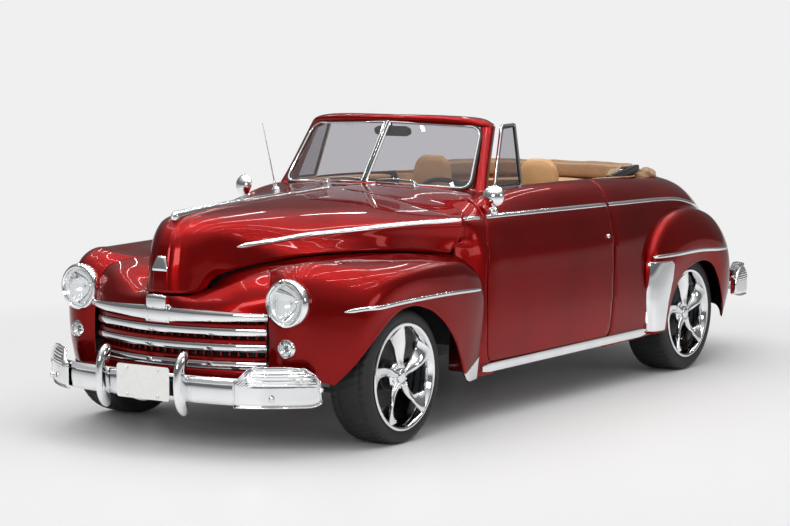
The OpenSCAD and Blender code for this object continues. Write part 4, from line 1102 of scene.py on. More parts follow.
def tyreMesh(r, w):
    n, m = wheel["treadPitch"] * 4, 56
    rim, half = wheel["rimRadius"], w / 2
    outline = [(rim - 12, half - 22), (rim - 2, half - 12), (rim + 4, half - 5), (rim + 14, half - 2.0),
               (rim + 22, half - 0.6), (r - 36, half), (r - 28, half - 1.2), (r - 20, half - 4),
               (r - 12, half - 9), (r - 6, half - 16), (r - 2.4, half - 26), (r - 0.8, half - 40),
               (r, half - 60), (r, 0)]
    outline = np.array(outline + [(a, -b) for a, b in outline[-2::-1]], float)
    line = bend(outline, np.linspace(0, len(outline) - 1, m + 1))
    bm, s, t = laid(n, m)
    radius, side = line[np.rint(t * m).astype(int)].T
    tread = np.clip((radius - (r - 14)) / 10, 0, 1)
    lane = abs(side) / half
    circ = sum(np.clip(1 - abs(abs(side) - half * c) / 4.2, 0, 1) for c in (0.16, 0.52))
    phase = (s * wheel["treadPitch"] + np.sign(side) * 0.25 + lane * 1.1) % 1
    slot = np.clip(1 - abs(phase - 0.5) / 0.14, 0, 1) * ((lane > 0.22) & (lane < 0.97))
    groove = np.maximum(np.clip(circ * 2, 0, 1), np.clip(slot * 2, 0, 1) * 0.8)
    rings = 1.1 * np.clip(np.cos((radius - rim - 30) * 0.55), 0.2, 1)
    rings = rings * np.clip((half + 2 - lane * half) / 4, 0, 1) * (radius < r - 26) * (radius > rim + 10)
    side = side + np.sign(side) * rings * 0.4
    radius = radius - groove * tread * wheel["grooveDepth"]
    angle = s * 2 * math.pi
    settle(bm, np.stack([side, np.cos(angle) * radius, np.sin(angle) * radius], 1) * mm)
    return seamless(bm)


def spokeMesh(w):
    t = np.linspace(0, 1, 34)
    r = 42 + (wheel["rimRadius"] - 22 - 42) * t
    a = np.radians(wheel["sweep"] * t ** 1.6)
    out = w / 2 - 34 + 22 * t ** 0.8 - 8 * np.sin(t * math.pi)
    path = np.stack([out, -np.sin(a) * r, np.cos(a) * r], 1)
    size = np.stack([np.interp(t, [0, 0.12, 0.45, 0.8, 1.0], [38, 42, 60, 84, 112]),
                     np.interp(t, [0, 0.2, 0.6, 1.0], [26, 20, 16, 13])], 1)
    roll = np.radians(np.interp(t, [0, 0.5, 1], [10, wheel["twist"], 12]))
    crown = oval(1, 1, 18, 2.6)
    crown[:, 1] += 0.35 * (1 - (2 * crown[:, 0]) ** 2) * (crown[:, 1] > 0)
    c, s = np.cos(roll), np.sin(roll)
    form = crown * size[:, None] @ np.stack([np.stack([c, s], 1), np.stack([-s, c], 1)], 1)
    tangent = unit(np.gradient(path, axis=0))
    side = unit(np.cross(tangent, np.array([1.0, 0, 0])))
    up = np.cross(side, tangent)
    return lofted((path[:, None] + side[:, None] * form[..., :1] + up[:, None] * form[..., 1:]) * mm)


def spunAboutX(profile, steps=96, fill=False):  # (radius, out) in mm about the wheel's own axis
    return spun(profile, Vector((0, 0, 0)), Vector((1, 0, 0)), Vector((0, 0, 1)), steps, fill)


def rimMesh(w):
    half, r = w / 2, wheel["rimRadius"]
    barrel = [(r - 14, -half + 24), (r - 9, -half + 8), (r + 2, -half + 4), (r + 2, -half), (r - 6, -half + 1),
              (r - 20, -half + 22), (r - 30, -half + 60), (r - 32, 0), (r - 28, half - 40), (r - 22, half - 18),
              (r - 17, half - 6), (r - 13, half + 1), (r - 8, half + 3.4), (r - 1, half + 3.6),
              (r + 3, half + 1), (r + 3, half - 4), (r - 8, half - 8), (r - 14, half - 24)]
    parts = [spunAboutX(barrel + barrel[:1], 120)]
    blade = spokeMesh(w)
    for k in range(wheel["spokes"]):
        one = blade.copy()
        turn = Matrix.Rotation(math.radians(360 / wheel["spokes"] * k), 3, "X")
        bmesh.ops.rotate(one, cent=(0, 0, 0), matrix=turn, verts=one.verts)
        parts.append(one)
    blade.free()
    hub = [(0, 10), (18, 10.5), (27, 13), (31, 17), (32, 26), (44, 28), (58, 33), (66, 42), (68, 56), (60, 70),
           (30, 74), (24.9, 74), (24.9, 60), (0, 60)]
    parts.append(spunAboutX([(radius, half - sunk) for radius, sunk in hub], 64))
    for k in range(wheel["nuts"]):
        a = math.radians(360 / wheel["nuts"] * (k + 0.5))
        nut = spunAboutX([(0, 10), (5, 9), (8, 5), (8.5, 0)], 6, True)
        spot = Vector((half - 34, math.sin(a) * wheel["nutCircle"], math.cos(a) * wheel["nutCircle"])) * mm
        bmesh.ops.translate(nut, vec=spot, verts=nut.verts)
        parts.append(nut)
    return joined(*parts)


def discMesh(w):
    disc = [(60, 114), (148, 114), (151, 118), (151, 130), (148, 134), (60, 134), (60, 114)]
    bell = [(26, 84), (66, 86), (72, 92), (72, 116), (26, 118), (26, 84)]
    return joined(*[spunAboutX([(radius, w / 2 - sunk) for radius, sunk in line], steps)
                    for line, steps in ((disc, 72), (bell, 48))])


def caliperMesh(w):
    a = np.radians(150 + 60 * np.linspace(0, 1, 23))[:, None]
    ring = oval(56, 62, 18, 4)
    r = 138 + ring[:, 1]
    return lofted(np.stack([w / 2 - 112 + ring[:, 0] + 0 * a, np.cos(a) * r, np.sin(a) * r], 2) * mm)


for end, (y, r, w, x) in wheel["ends"].items():
    tyre, rim, disc, caliper = tyreMesh(r, w), rimMesh(w), discMesh(w), caliperMesh(w)
    for bm in (tyre, rim, disc, caliper):
        bmesh.ops.translate(bm, vec=at(x, y, r), verts=bm.verts)
    bodies, title = (f"wheel_{end}_left", f"wheel_{end}_right"), end.title()
    bothSides(f"tyre{title}", tyre, rubber, bodies, replaces=[f"tyre_{end}"], degrees=40)
    bothSides(f"wheel{title}", rim, chrome, bodies, "rim", [f"rim_{end}"])
    bothSides(f"brakeDisc{title}", disc, frameBlack, bodies, "steel")
    holders = ("knuckle_left", "knuckle_right") if end == "front" else ("body",)
    bothSides(f"caliper{title}", caliper, frameBlack, holders)
print("wheels made")

screen = {"pane": [(14, 930, 1124), (570, 1032, 1106), (518, 1224, 1406), (14, 1146, 1424)],
          "corners": [6, 58, 66, 6],
          "gasketCorners": [6, 60, 68, 6], "gasketInset": -9, "glass": 6, "header": 42, "foot": 1074,
          "head": 1412, "flare": 13}
header = np.array([(0, 1160, 1444.5), (300, 1190, 1442.5), (484, 1232, 1430.5), (546, 1264, 1402.5)], float)
headerBack = np.array([26, 34, 50, 36], float)
postFoot = np.array([(578, 1040), (606, 1040), (634, 1056), (634, 1074), (610, 1132), (590, 1128)], float)
postHead = np.array([(505, 1232), (524, 1228), (560, 1248), (566, 1266), (556, 1304), (536, 1300)], float)


def paneGlass(ring, thick):
    bm = bmesh.new()
    bm.faces.new([bm.verts.new(p) for p in place(ring)])
    bmesh.ops.solidify(bm, geom=bm.faces, thickness=thick * mm)
    bmesh.ops.recalc_face_normals(bm, faces=bm.faces)
    if bm.calc_volume(signed=True) < 0:
        bmesh.ops.reverse_faces(bm, faces=bm.faces)
    return bm


def paneFacing(pane):  # the way a pane faces
    corners = np.array(pane, float)
    return unit(np.cross(corners[1] - corners[0], corners[3] - corners[0]))


pane = screen["pane"]
outerRing = rounded(pane, screen["corners"], 9)
facing = paneFacing(pane)
facing = facing if facing[1] < 0 else -facing
left, _ = bothSides("screenGlass", paneGlass(outerRing, screen["glass"]), glass)
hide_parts("windscreen_glass")
bead = sweep(evened(outerRing, 150, True)[0] + facing * 5, facing, oval(11, 10, 10), closed=True)
bothSides("screenBead", bead, chrome)
gasketRing = rounded(pane, screen["gasketCorners"], 9, screen["gasketInset"])
gasket = sweep(evened(gasketRing, 150, True)[0] + facing, facing, oval(14, 16, 10, 3), closed=True)
bothSides("screenGasket", gasket, blackTrim)
k = np.linspace(-3, 3, 80)
points, back = bend(header, abs(k)), bend(headerBack[:, None], abs(k))[:, 0]
points[:, 0] *= np.sign(k)
path = points + np.stack([k * 0, back / 2, k * 0], 1)
headerSize = np.stack([back + screen["header"], np.full(80, float(screen["header"]))], 1)
headerBar = sweep(path, (0, -0.12, 1), oval(1, 1, 22, 2.4) * headerSize[:, None])
t = np.linspace(0, 1, 34)[:, None]
rings = np.array([rounded(postFoot + (postHead - postFoot) * k, 14, 5) for k in t])  # sections, foot to head
rings = rings + unit(rings - rings.mean(1)[:, None]) * ((1 - t) ** 6 * screen["flare"])[..., None]
high = np.broadcast_to(screen["foot"] + (screen["head"] - screen["foot"]) * t, rings.shape[:2])
bothSides("screenPost", lofted(place(np.dstack([rings, high]))), paint)
k = abs(2 * np.linspace(0, 1, 60) - 1)
sillPath = np.stack([596 * np.linspace(-1, 1, 60), 928 + 122 * k ** 1.35, 1112 - 26 * k ** 1.6], 1)
sill = sweep(sillPath, (0, -0.3, 1), oval(40, 34, 18, 2.3))
finishPiece("screenHeader", joined(headerBar, sill), paint, replaces="windscreen_frame")
bar = sweep([(0, 920 + 226 * t, 1108 + 322 * t) for t in np.linspace(0, 1, 30)], facing * np.array([0, 1, 1]),
            halfRound(20, 9) - np.array([0, 2]))
finishPiece("screenCentreBar", bar, chrome)

wiper = {"arm": [(300, 948, 1122), (296, 950, 1138), (250, 948, 1142), (170, 944, 1146), (70, 936, 1140)],
         "shift": 60, "bladeStart": 14}  # the right wiper is the left one mirrored and shifted
for side, sign in (("Left", 1), ("Right", -1)):
    path = bend(wiper["arm"], np.linspace(0, 4, 40)) * np.array([sign, 1, 1])
    path = path + np.array([wiper["shift"] if sign < 0 else 0, 0, 0])
    arm = sweep(path, (0, -1, 0.2), oval(7, 5, 10, 3), ends(40, 0.7, 0.5))
    post = turned([(0, 26), (8, 24), (13, 16), (15, 4), (18, 0), (18, -12)], (path[0, 0], 948, 1110),
                  (0, -0.25, 1), 28)
    finishPiece("wiperArm" + side, joined(arm, post), chrome)
    bladePath = path[wiper["bladeStart"]:] + np.array([0, -2, -5])
    finishPiece("wiperBlade" + side, sweep(bladePath, (0, -1, 0.2), oval(4, 12, 8, 3)), blackTrim)

vent = {"pane": [(652, 1132, 1106), (652, 1398, 1106), (578, 1446, 1418), (578, 1322, 1414)],
        "corners": [30, 8, 8, 18], "glass": 5, "sealInset": 13}
ventRing = rounded(vent["pane"], vent["corners"], 9)
across = paneFacing(vent["pane"])
across = across * np.sign(across[0])
bothSides("ventGlass", paneGlass(ventRing, vent["glass"]), glass, doors)
ventFrame = sweep(evened(ventRing, 110, True)[0], across, oval(15, 17, 12, 3), closed=True)
bothSides("ventFrame", ventFrame, chrome, doors)
inner = evened(rounded(vent["pane"], vent["corners"], 9, vent["sealInset"]), 110, True)[0]
bothSides("ventSeal", sweep(inner, across, oval(10, 14, 8, 3), closed=True), blackTrim, doors)

mirror = {"centre": (774, 918, 1086), "facing": (0.20, -0.96, 0.17), "foot": (768, 942, 1016)}
shell = turned([(0, 24), (20, 22), (38, 13), (50, 0), (56, -12), (56, -16), (53, -18)], mirror["centre"],
               mirror["facing"], 56)
bothSides("mirrorShell", shell, chrome, doors, mods=wall(1.2))
face = turned([(0, -15), (52, -15), (54, -16.5), (52, -18), (0, -18)], mirror["centre"], mirror["facing"], 48)
bothSides("mirrorFace", face, chrome, doors)
stalk = bend([(770, 946, 1012), (768, 936, 1030), (766, 926, 1050), (772, 920, 1076)], np.linspace(0, 3, 24))
base = turned([(0, 12), (12, 11), (20, 4), (24, -4), (24, -10)], mirror["foot"], (0.62, -0.1, 0.78), 28)
arm = sweep(stalk, (1, 0, 0), oval(15, 13, 12), ends(24, 0.9, 0.7))
bothSides("mirrorStalk", joined(arm, base), chrome, doors)

aerial = {"foot": (-477, 818, 1072), "length": 350, "lean": (-0.10, -0.20, 1),
          "tubes": ((40, 180, 3.4), (178, 320, 2.6), (318, 348, 1.8))}  # from, to, radius
lean, start = Vector(aerial["lean"]).normalized(), Vector(aerial["foot"])
mast = [turned([(0, 52), (5, 50), (9, 38), (11, 20), (20, 10), (24, 0), (24, -14)], aerial["foot"], lean, 28)]
for low, high, r in aerial["tubes"]:
    a, b = start + lean * low, start + lean * high
    tube = [tuple(a.lerp(b, f)) for f in np.linspace(0, 1, 8)]
    mast.append(sweep(tube, (0, 1, 0), oval(2 * r, 2 * r, 10), ends(8, 0.8, 0.6, 1)))
finishPiece("aerial", joined(*mast, ball(start + lean * aerial["length"], (4, 4, 4), 12)), chrome)
print("windscreen and mirrors made")

cabin = {"seatX": 345, "doorTrimInset": 7, "rimDrop": 5, "floor": 396, "beltLine": 1088, "doorWall": 3}


def strips(rows):  # a sheet through rows of points, (rows, points, 3) in mm
    rows = np.array(rows, float)
    bm, s, t = laid(rows.shape[0] - 1, rows.shape[1] - 1)
    i, j = np.rint(s * (rows.shape[0] - 1)).astype(int), np.rint(t * (rows.shape[1] - 1)).astype(int)
    settle(bm, place(rows[i, j]))
    return bm


def network(skin, us, vs, counts):  # a fine net of points on a skin
    u, v = np.meshgrid(np.linspace(*us, counts[0]), np.linspace(*vs, counts[1]), indexing="ij")
    return skin.points(u.ravel(), v.ravel())


def widthAt(skin, points):  # how far out a skin stands at some (y, z) places of the door
    net = network(skin, (0.7, 4.3), (10.7, 16), (220, 160))
    return np.array([net[((net[:, 1:] - p) ** 2).sum(1).argmin(), 0] for p in points])


def rimHeight(points):  # the body's height along the cockpit opening
    net = network(bodySkin, (2, 7.6), (8, 11.2), (200, 90))
    return np.array([net[((net[:, :2] - (abs(p[0]), p[1])) ** 2).sum(1).argmin(), 2] for p in points])


ring = np.concatenate([doorLine, doorLine[:1]])
ring = evened(ring, 260)[0]
low = np.flatnonzero(ring[:, 1] < cabin["beltLine"])
turnAt = np.flatnonzero(np.diff(low) > 1)
ring = np.concatenate([ring[low[turnAt[0] + 1:]], ring[low[:turnAt[0] + 1]]]) if len(turnAt) else ring[low]
ring = grown(ring, -3)[1:-1]
outerX, innerX = widthAt(bodySkin, ring) - 6, widthAt(liningSkin, ring)
edgeRows = [np.column_stack([outerX + (innerX - outerX) * k, ring]) for k in (0, 0.5, 1)]
bothSides("doorEdge", strips(edgeRows), paint, doors, more=[seal], mods=wall(1.5, 0))
trimMesh = skinPanel(liningSkin, (0.75, 4.25), (10.72, 16), (64, 44),
                     [lambda p, u, v: -insideDoor(p) - cabin["doorTrimInset"]], hem=(4, 9))
bmesh.ops.reverse_faces(trimMesh, faces=trimMesh.faces)
bothSides("doorTrim", trimMesh, leather, doors, more=[seal], mods=wall(cabin["doorWall"], lined=True))
capLine = [(616 + 3 * math.sin((y - 830) / 1240 * math.pi), y, 1072 + 18 * math.sin((y - 600) / 1700 * math.pi))
           for y in np.linspace(1010, 2066, 50)]
bothSides("doorCap", sweep(capLine, (0, 0, 1), oval(56, 32, 20, 2.6), ends(50, 0.4, 0.5, 5)), leather, doors)
pull = bend([(596, 1300, 860), (570, 1310, 868), (564, 1380, 872), (564, 1450, 872), (570, 1520, 868),
             (596, 1530, 860)], np.linspace(0, 5, 50))
handles = [sweep(pull, (0, 0, 1), oval(18, 14, 14, 3), ends(50, 0.8, 0.8)),
           turned([(0, 16), (10, 15), (15, 8), (16, 0), (16, -14)], (586, 1180, 800), (-1, 0, 0), 28),
           sweep([(572, 1180, 800), (568, 1140, 786), (566, 1100, 770)], (1, 0, 0), oval(14, 8, 12),
                 ends(3, 1, 0.8, 1)),
           turned([(0, 30), (9, 29), (12, 22), (10, 8), (6, 0)], (566, 1098, 769), (-1, 0, 0), 24)]
bothSides("doorPull", joined(*handles), chrome, doors)
lockButton = turned([(0, 9), (7, 8.2), (10.5, 5), (12, 1), (12, -8)], (846, 1978, 819), (1, 0, 0.12), 28)
bothSides("doorLock", lockButton, chrome, doors)

rimLine = grown(cockpitLine, -4)[1:-1]
rimLine = rimLine[rimLine[:, 1] > 2094]
rimTop = rimHeight(rimLine) - cabin["rimDrop"]
inward = unit(np.array([0, 2380]) - rimLine)
wallRows = [np.column_stack([rimLine + inward * reach, np.maximum(rimTop - drop, cabin["floor"])])
            for drop, reach in ((0, 0), (26, 10), (80, 22), (300, 30), (640, 34))]
finishPiece("quarterTrim", strips(wallRows), leather, more=[seal], mods=wall(4, 0))
capWay = np.column_stack([rimLine + inward * 6, rimTop + 1])
finishPiece("cockpitBead", sweep(capWay, (0, 0, 1), oval(15, 12, 12), ends(len(capWay), 0.7, 0.7)), leather)
u, v = np.full(150, 0.08), np.linspace(0.05, 15.95, 150)
edge = bodySkin.points(u, v) - bodySkin.normals(u, v) * 5
inner = edge * np.array([0.80, 0, 0.90]) + np.array([0, 682, 24])
finishPiece("bulkheadFlange", strips([edge, edge * 0.5 + inner * 0.5, inner]), paint, mods=wall(2, 0))
print("cabin walls made")

cushion = {"voxel": 0.0138, "pressure": 4.0, "cap": 0.024, "frames": 20, "pleat": 58, "pleatDepth": 5.5,
           "rearPleat": 72, "seamDepth": 7, "piping": 2.5, "insert": 150, "fill": 0.7, "headFill": 0.8}


def padForm(line, widths, thick, up, square=4.5, count=26):  # a closed soft block along a line
    t = 0.5 - 0.5 * np.cos(np.linspace(0, math.pi, count))
    path = bend(np.array(line, float), t * (len(line) - 1))
    length = np.linalg.norm(np.diff(path, axis=0), axis=1).sum()
    thick = np.interp(t, np.linspace(0, 1, len(thick)), thick)
    edge = np.clip(np.minimum(t, 1 - t) * length / (thick * 0.6), 0, 1)
    soft = np.sqrt(np.clip(1 - (1 - edge) ** 2, 0.02, 1))
    wide = np.interp(t, np.linspace(0, 1, len(widths)), widths) * (0.86 + 0.14 * soft)
    return sweep(path, up, oval(1, 1, 44, square), np.stack([wide, thick * soft], 1))


def meshFrom(name, bm, mods):  # a mesh with modifiers applied to it
    mesh = bpy.data.meshes.new(name)
    bm.to_mesh(mesh)
    bm.free()
    holder = bpy.data.objects.new(name, mesh)
    bpy.context.scene.collection.objects.link(holder)
    for kind, settings in mods:
        added = holder.modifiers.new(kind, kind)
        for key, value in settings.items():
            setattr(added, key, value)
    done = bpy.data.meshes.new_from_object(holder.evaluated_get(bpy.context.evaluated_depsgraph_get()))
    bpy.data.objects.remove(holder)
    return done


def puffed(forms):  # closed forms, swollen as cloth under air pressure
    scene, holders, starts = bpy.context.scene, [], []
    for bm in forms:
        remesh = {"mode": "VOXEL", "voxel_size": cushion["voxel"], "use_smooth_shade": True}
        holder = bpy.data.objects.new("soft", meshFrom("soft", bm, [("REMESH", remesh)]))
        scene.collection.objects.link(holder)
        starts.append(np.array([v.co for v in holder.data.vertices]))
        cloth = holder.modifiers.new("cloth", "CLOTH")
        cloth.settings.use_pressure, cloth.settings.uniform_pressure_force = True, cushion["pressure"]
        cloth.settings.effector_weights.gravity = 0
        cloth.point_cache.frame_end = cushion["frames"]
        holders.append(holder)
    for step in range(1, cushion["frames"] + 1):
        scene.frame_set(step)
    deps = bpy.context.evaluated_depsgraph_get()
    made = []
    for holder, start in zip(holders, starts):
        swollen = bpy.data.meshes.new_from_object(holder.evaluated_get(deps))
        moved = np.array([v.co for v in swollen.vertices]) - start
        far = np.linalg.norm(moved, axis=1, keepdims=True)
        still = start + moved * np.minimum(1, cushion["cap"] / np.maximum(far, 1e-9))
        bpy.data.objects.remove(holder)
        bm = bmesh.new()
        bm.from_mesh(swollen)
        settle(bm, still)
        smooth = bmesh.new()
        smooth.from_mesh(meshFrom("soft", bm, [("SUBSURF", {"levels": 1, "render_levels": 1})]))
        made.append(smooth)
    scene.frame_set(1)
    return made


def sewn(bm, depth):  # seams pressed into the cover; depth(points, normals) in mm
    bm.normal_update()
    points = (np.array([v.co for v in bm.verts]) - np.array([0, axleY, 0])) / mm
    normals = np.array([v.normal for v in bm.verts])
    settle(bm, place(points - normals * depth(points, normals)[:, None]))
    return bm


def crease(x, pitch, width):
    return np.exp(-(((x + pitch / 2) % pitch - pitch / 2) / width) ** 2)


def seam(x, width=5):
    return np.exp(-(x / width) ** 2)


backLine = [(0, 1956, 556), (0, 1990, 700), (0, 2036, 880), (0, 2074, 1030)]
baseLine = [(0, 1366, 540), (0, 1600, 534), (0, 1880, 520)]
headLine = [(0, 2092, 1012), (0, 2100, 1104), (0, 2104, 1212)]
rearBaseLine = [(0, 2226, 560), (0, 2350, 566), (0, 2484, 556)]
rearBackLine = [(0, 2600, 580), (0, 2618, 780), (0, 2640, 1000)]
back, base, headRest, rearBase, rearBack = puffed([
    padForm(backLine, [444, 420, 360, 268], [70, 84, 80, 60], (0, -1, 0.2)),
    padForm(baseLine, [440, 456, 430], [84, 92, 84], (0, 0, 1)),
    padForm(headLine, [226, 246, 250, 250, 246, 234, 204, 130], [74, 88, 92, 88, 78, 54], (0, -1, 0.1),
            2.4, 30),
    padForm(rearBaseLine, [1030, 1030, 1020], [84, 98, 84], (0, 0, 1)),
    padForm(rearBackLine, [1060, 1070, 1030], [76, 90, 62], (0, -1, 0.1))])


def backSeams(p, n):
    front, bolster = n[:, 1] < 0.1, np.interp(p[:, 2], [560, 1030], [150, 92])
    insert = np.clip((bolster - abs(p[:, 0])) / 8, 0, 1) * (p[:, 2] > 610) * (p[:, 2] < 960)
    pleats = crease(p[:, 2] - 600, cushion["pleat"], 6) * insert * front * cushion["pleatDepth"]
    middle = np.interp(p[:, 2], [556, 1030], [1962, 2084])
    return (pleats + cushion["seamDepth"] * seam(abs(p[:, 0]) - bolster) * front
            + cushion["piping"] * seam(p[:, 1] - middle, 4))


def baseSeams(p, n):
    half, top = cushion["insert"], n[:, 2] > 0
    insert = np.clip((half - abs(p[:, 0])) / 8, 0, 1) * (p[:, 1] > 1420) * (p[:, 1] < 1830) * top
    pleats = crease(p[:, 1] - 1400, cushion["pleat"], 6) * insert * cushion["pleatDepth"]
    return (pleats + cushion["seamDepth"] * seam(abs(p[:, 0]) - half) * top
            + cushion["piping"] * seam(p[:, 2] - 534, 4))


def rearSeams(p, n):
    top = (n[:, 2] > 0.2) | (n[:, 1] < -0.4)
    pleats = crease(p[:, 0], cushion["rearPleat"], 6) * np.clip((470 - abs(p[:, 0])) / 8, 0, 1) * top
    return pleats * cushion["pleatDepth"] + cushion["piping"] * seam(abs(p[:, 0]) - 500, 4)


def headSeams(p, n):
    return 2.2 * seam(p[:, 1] - 2090, 3.5) + 2.2 * seam(p[:, 1] - 2112, 3.5)


frontSeat = (("seatBack", back, backSeams, cushion["fill"]), ("seatBase", base, baseSeams, cushion["fill"]),
             ("headRest", headRest, headSeams, cushion["headFill"]))
for name, bm, seams, fill in frontSeat:
    sewn(bm, seams)
    for side, sign in (("Left", 1), ("Right", -1)):
        one = bm.copy()
        bmesh.ops.translate(one, vec=(sign * cabin["seatX"] * mm, 0, 0), verts=one.verts)
        piece = finishPiece(name + side, one, leather, degrees=180)
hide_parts("front_seats")
for name, bm, nodes in (("rearSeatBase", rearBase, "rear_seat"), ("rearSeatBack", rearBack, ())):
    piece = finishPiece(name, sewn(bm, rearSeams), leather, replaces=nodes, degrees=180)


def softBox(size, centre, radius, segments=4):
    bm = bmesh.new()
    bmesh.ops.create_cube(bm, size=1)
    bmesh.ops.scale(bm, vec=[s * mm for s in size], verts=bm.verts)
    bmesh.ops.bevel(bm, geom=bm.edges, offset=radius * mm, segments=segments, profile=0.5, affect="EDGES",
                    material=-1)
    bmesh.ops.translate(bm, vec=at(*centre), verts=bm.verts)
    return bm


plinths = [softBox((400, 440, 96), (sign * cabin["seatX"], 1620, 428), 14) for sign in (1, -1)]
finishPiece("seatPlinths", joined(*plinths), blackTrim)
posts = [turned([(0, 0), (6, 0), (6, 70), (0, 70)], (sign * cabin["seatX"] + dx, 2082, 1010), (0, 0.1, 1), 14)
         for sign in (1, -1) for dx in (-46, 46)]
finishPiece("headRestPosts", joined(*posts), chrome)
finishPiece("rearSeatBox", softBox((1070, 280, 128), (0, 2352, 446), 12), carpet)
k = np.linspace(0, 1, 24)
rise = 1046 + 8 * np.sin(k * math.pi)
shelf = np.array([np.column_stack([np.full(24, x), 2672 + 313 * k, rise - 0.00012 * x ** 2])
                  for x in np.linspace(-1, 1, 40) * 480])
shelf[:, :, 0] *= np.interp(shelf[:, :, 1], [2672, 2760, 2990], [1.14, 1.12, 0.62])
finishPiece("rearShelf", strips(shelf), leather, more=[seal], mods=wall(6))
print("seats made")

topStack = {"folds": 1, "low": 1054, "high": 1146, "width": 88, "start": 2470, "points": 130, "form": 60,
            "cloth": 1.6, "slack": 1.12, "gather": (548, 2926, 1092), "gatherSize": (62, 104, 37)}


def foldedTop():  # one folded sheet round the back of the cockpit, rumpled along its length
    low, high, folds = topStack["low"], topStack["high"], topStack["folds"]
    middle = grown(cockpitLine, -60)
    middle, length = evened(middle[middle[:, 1] > topStack["start"]], topStack["points"])
    step = unit(np.gradient(middle, axis=0))
    out = np.stack([step[:, 1], -step[:, 0]], 1)
    out *= np.sign((out * (middle - np.array([0, 2400]))).sum(1).mean())
    rise = (high - low - 18) / folds
    knots = []
    for k in range(folds + 1):
        reach = (topStack["width"] / 2 - 5 - 2.5 * k) * (1 if k % 2 else -1)
        crown, z = 6 + 1.6 * k, low + 4 + rise * k
        knots += [(-reach, z), (-reach * 0.5, z + crown * 0.8), (0, z + crown), (reach * 0.5, z + crown * 0.8),
                  (reach, z + rise * 0.3)]
    across, up = bend(knots, np.linspace(0, len(knots) - 1, topStack["form"])).T
    s = np.linspace(0, 1, topStack["points"])[:, None]
    end = np.minimum(s, 1 - s)
    level = (up - low) / (high - low)
    wave = 1.2 * np.sin(s * 41) + 0.7 * np.sin(s * 103 + 1) + 5 * np.exp(-(end / 0.05) ** 2) * np.sin(s * 400)
    side = across * (1 - 0.16 * np.exp(-(end / 0.03) ** 2)) + wave * level * 0.8
    squash = (0.97 + 0.02 * np.sin(s * 37)) * (0.62 + 0.38 * np.minimum(1, end / 0.035))
    z = low + (up - low) * squash + np.sin(across * 0.09 + s * 90) * 0.5 * level
    return strips(np.dstack([middle[:, None] + out[:, None] * side[..., None], z])), length * mm


def crumpled(centre, radii):  # the loose end of the top, bunched up beside the opening
    bm, middle = ball(centre, radii, 56), at(*centre)
    for vert in bm.verts:
        gap = vert.co - middle
        x, y, z = (gap[k] / mm / radii[k] for k in range(3))
        folds = 0.11 * math.sin(5 * x + 2.4 * math.sin(3 * y)) + 0.1 * math.sin(6 * y + 4 * z + 1)
        vert.co += gap * (folds + 0.035 * math.sin(13 * x - 9 * y))
    return bm


bm, topRun = foldedTop()
topArea = sum(f.calc_area() for f in bm.faces)
topPiece = finishPiece("foldedTop", bm, canvas, replaces="folded_top", degrees=180,
                       mods=wall(topStack["cloth"], 0))
for side, sign in (("Left", 1), ("Right", -1)):
    x, y, z = topStack["gather"]
    bunch = crumpled((sign * x, y, z), topStack["gatherSize"])
    finishPiece("topGather" + side, bunch, canvas, degrees=180)
flat = (round(topRun * topStack["slack"], 3), round(topArea / topRun * topStack["slack"], 3))
rail = [(530, 2890, 1134), (576, 2740, 1132), (598, 2590, 1116), (602, 2440, 1098)]
for side, sign in (("Left", 1), ("Right", -1)):
    path = bend(rail, np.linspace(0, 3, 30)) * np.array([sign, 1, 1])
    finishPiece("topRail" + side, sweep(path, (0, 0, 1), oval(30, 34, 14, 4), ends(30, 0.8, 0.6)), blackTrim)
print("top made")

dash = {"dials": ((300, 1012, 52), (420, 1012, 52), (180, 1012, 36), (60, 1012, 36)), "face": 1120, "marks": 13,
        "knobs": (-60, 20, 90, 160), "knobHeight": 968, "bars": 6, "barPitch": 11}
out, face = (0, 1, 0), dash["face"]
for k, (x, z, r) in enumerate(dash["dials"]):
    bezel = turned([(r - 6, 2), (r - 3, 6), (r + 1, 5), (r + 3, 1), (r + 3, -8)], (x, face, z), out, 48)
    finishPiece(f"dialBezel{k}", bezel, chrome, mods=wall(1))
    plate = turned([(0, 1), (r - 6, 1), (r - 4, 0), (r - 4, -6)], (x, face, z), out, 40)
    finishPiece(f"dialFace{k}", plate, dialIvory)
    needle = sweep([(x, face + 3, z), (x - r * 0.5, face + 3, z - r * 0.35)], out, oval(4, 2, 8),
                   ends(2, 1, 0.4, 1))
    spots = [(x + math.sin(a) * (r - 13), face + 1, z + math.cos(a) * (r - 13))
             for a in np.radians(np.linspace(-130, 130, dash["marks"]))]
    marks = [turned([(0, 2), (1.6, 2), (1.6, 0)], spot, out, 6) for spot in spots]
    finishPiece(f"dialMarks{k}", joined(needle, *marks), blackTrim)
knobs = [turned([(0, 20), (8, 19), (11, 14), (10, 6), (5, 4), (5, -6)], (x, face, dash["knobHeight"]), out, 24)
         for x in dash["knobs"]]
finishPiece("dashKnobs", joined(*knobs), chrome)
finishPiece("gloveLid", softBox((330, 8, 78), (-340, 1118, 1005), 3), paint)
speaker = [softBox((190, 5, 5), (-50, 1121, 984 + dash["barPitch"] * k), 2, 2) for k in range(dash["bars"])]
finishPiece("speakerGrille", joined(*speaker), chrome)

steering = {"centre": (360, 1220, 985), "tilt": -52, "radius": 200, "fingerGrips": 36, "spokeGap": 9}
wheelTilt = Matrix.Rotation(math.radians(steering["tilt"]), 4, "X")
wheelTilt = Matrix.Translation(at(*steering["centre"])) @ wheelTilt


def onColumn(*parts):  # parts made at the origin, z along the column
    bm = joined(*parts)
    bmesh.ops.translate(bm, vec=-at(0, 0, 0), verts=bm.verts)
    bmesh.ops.transform(bm, matrix=wheelTilt, verts=bm.verts)
    return bm


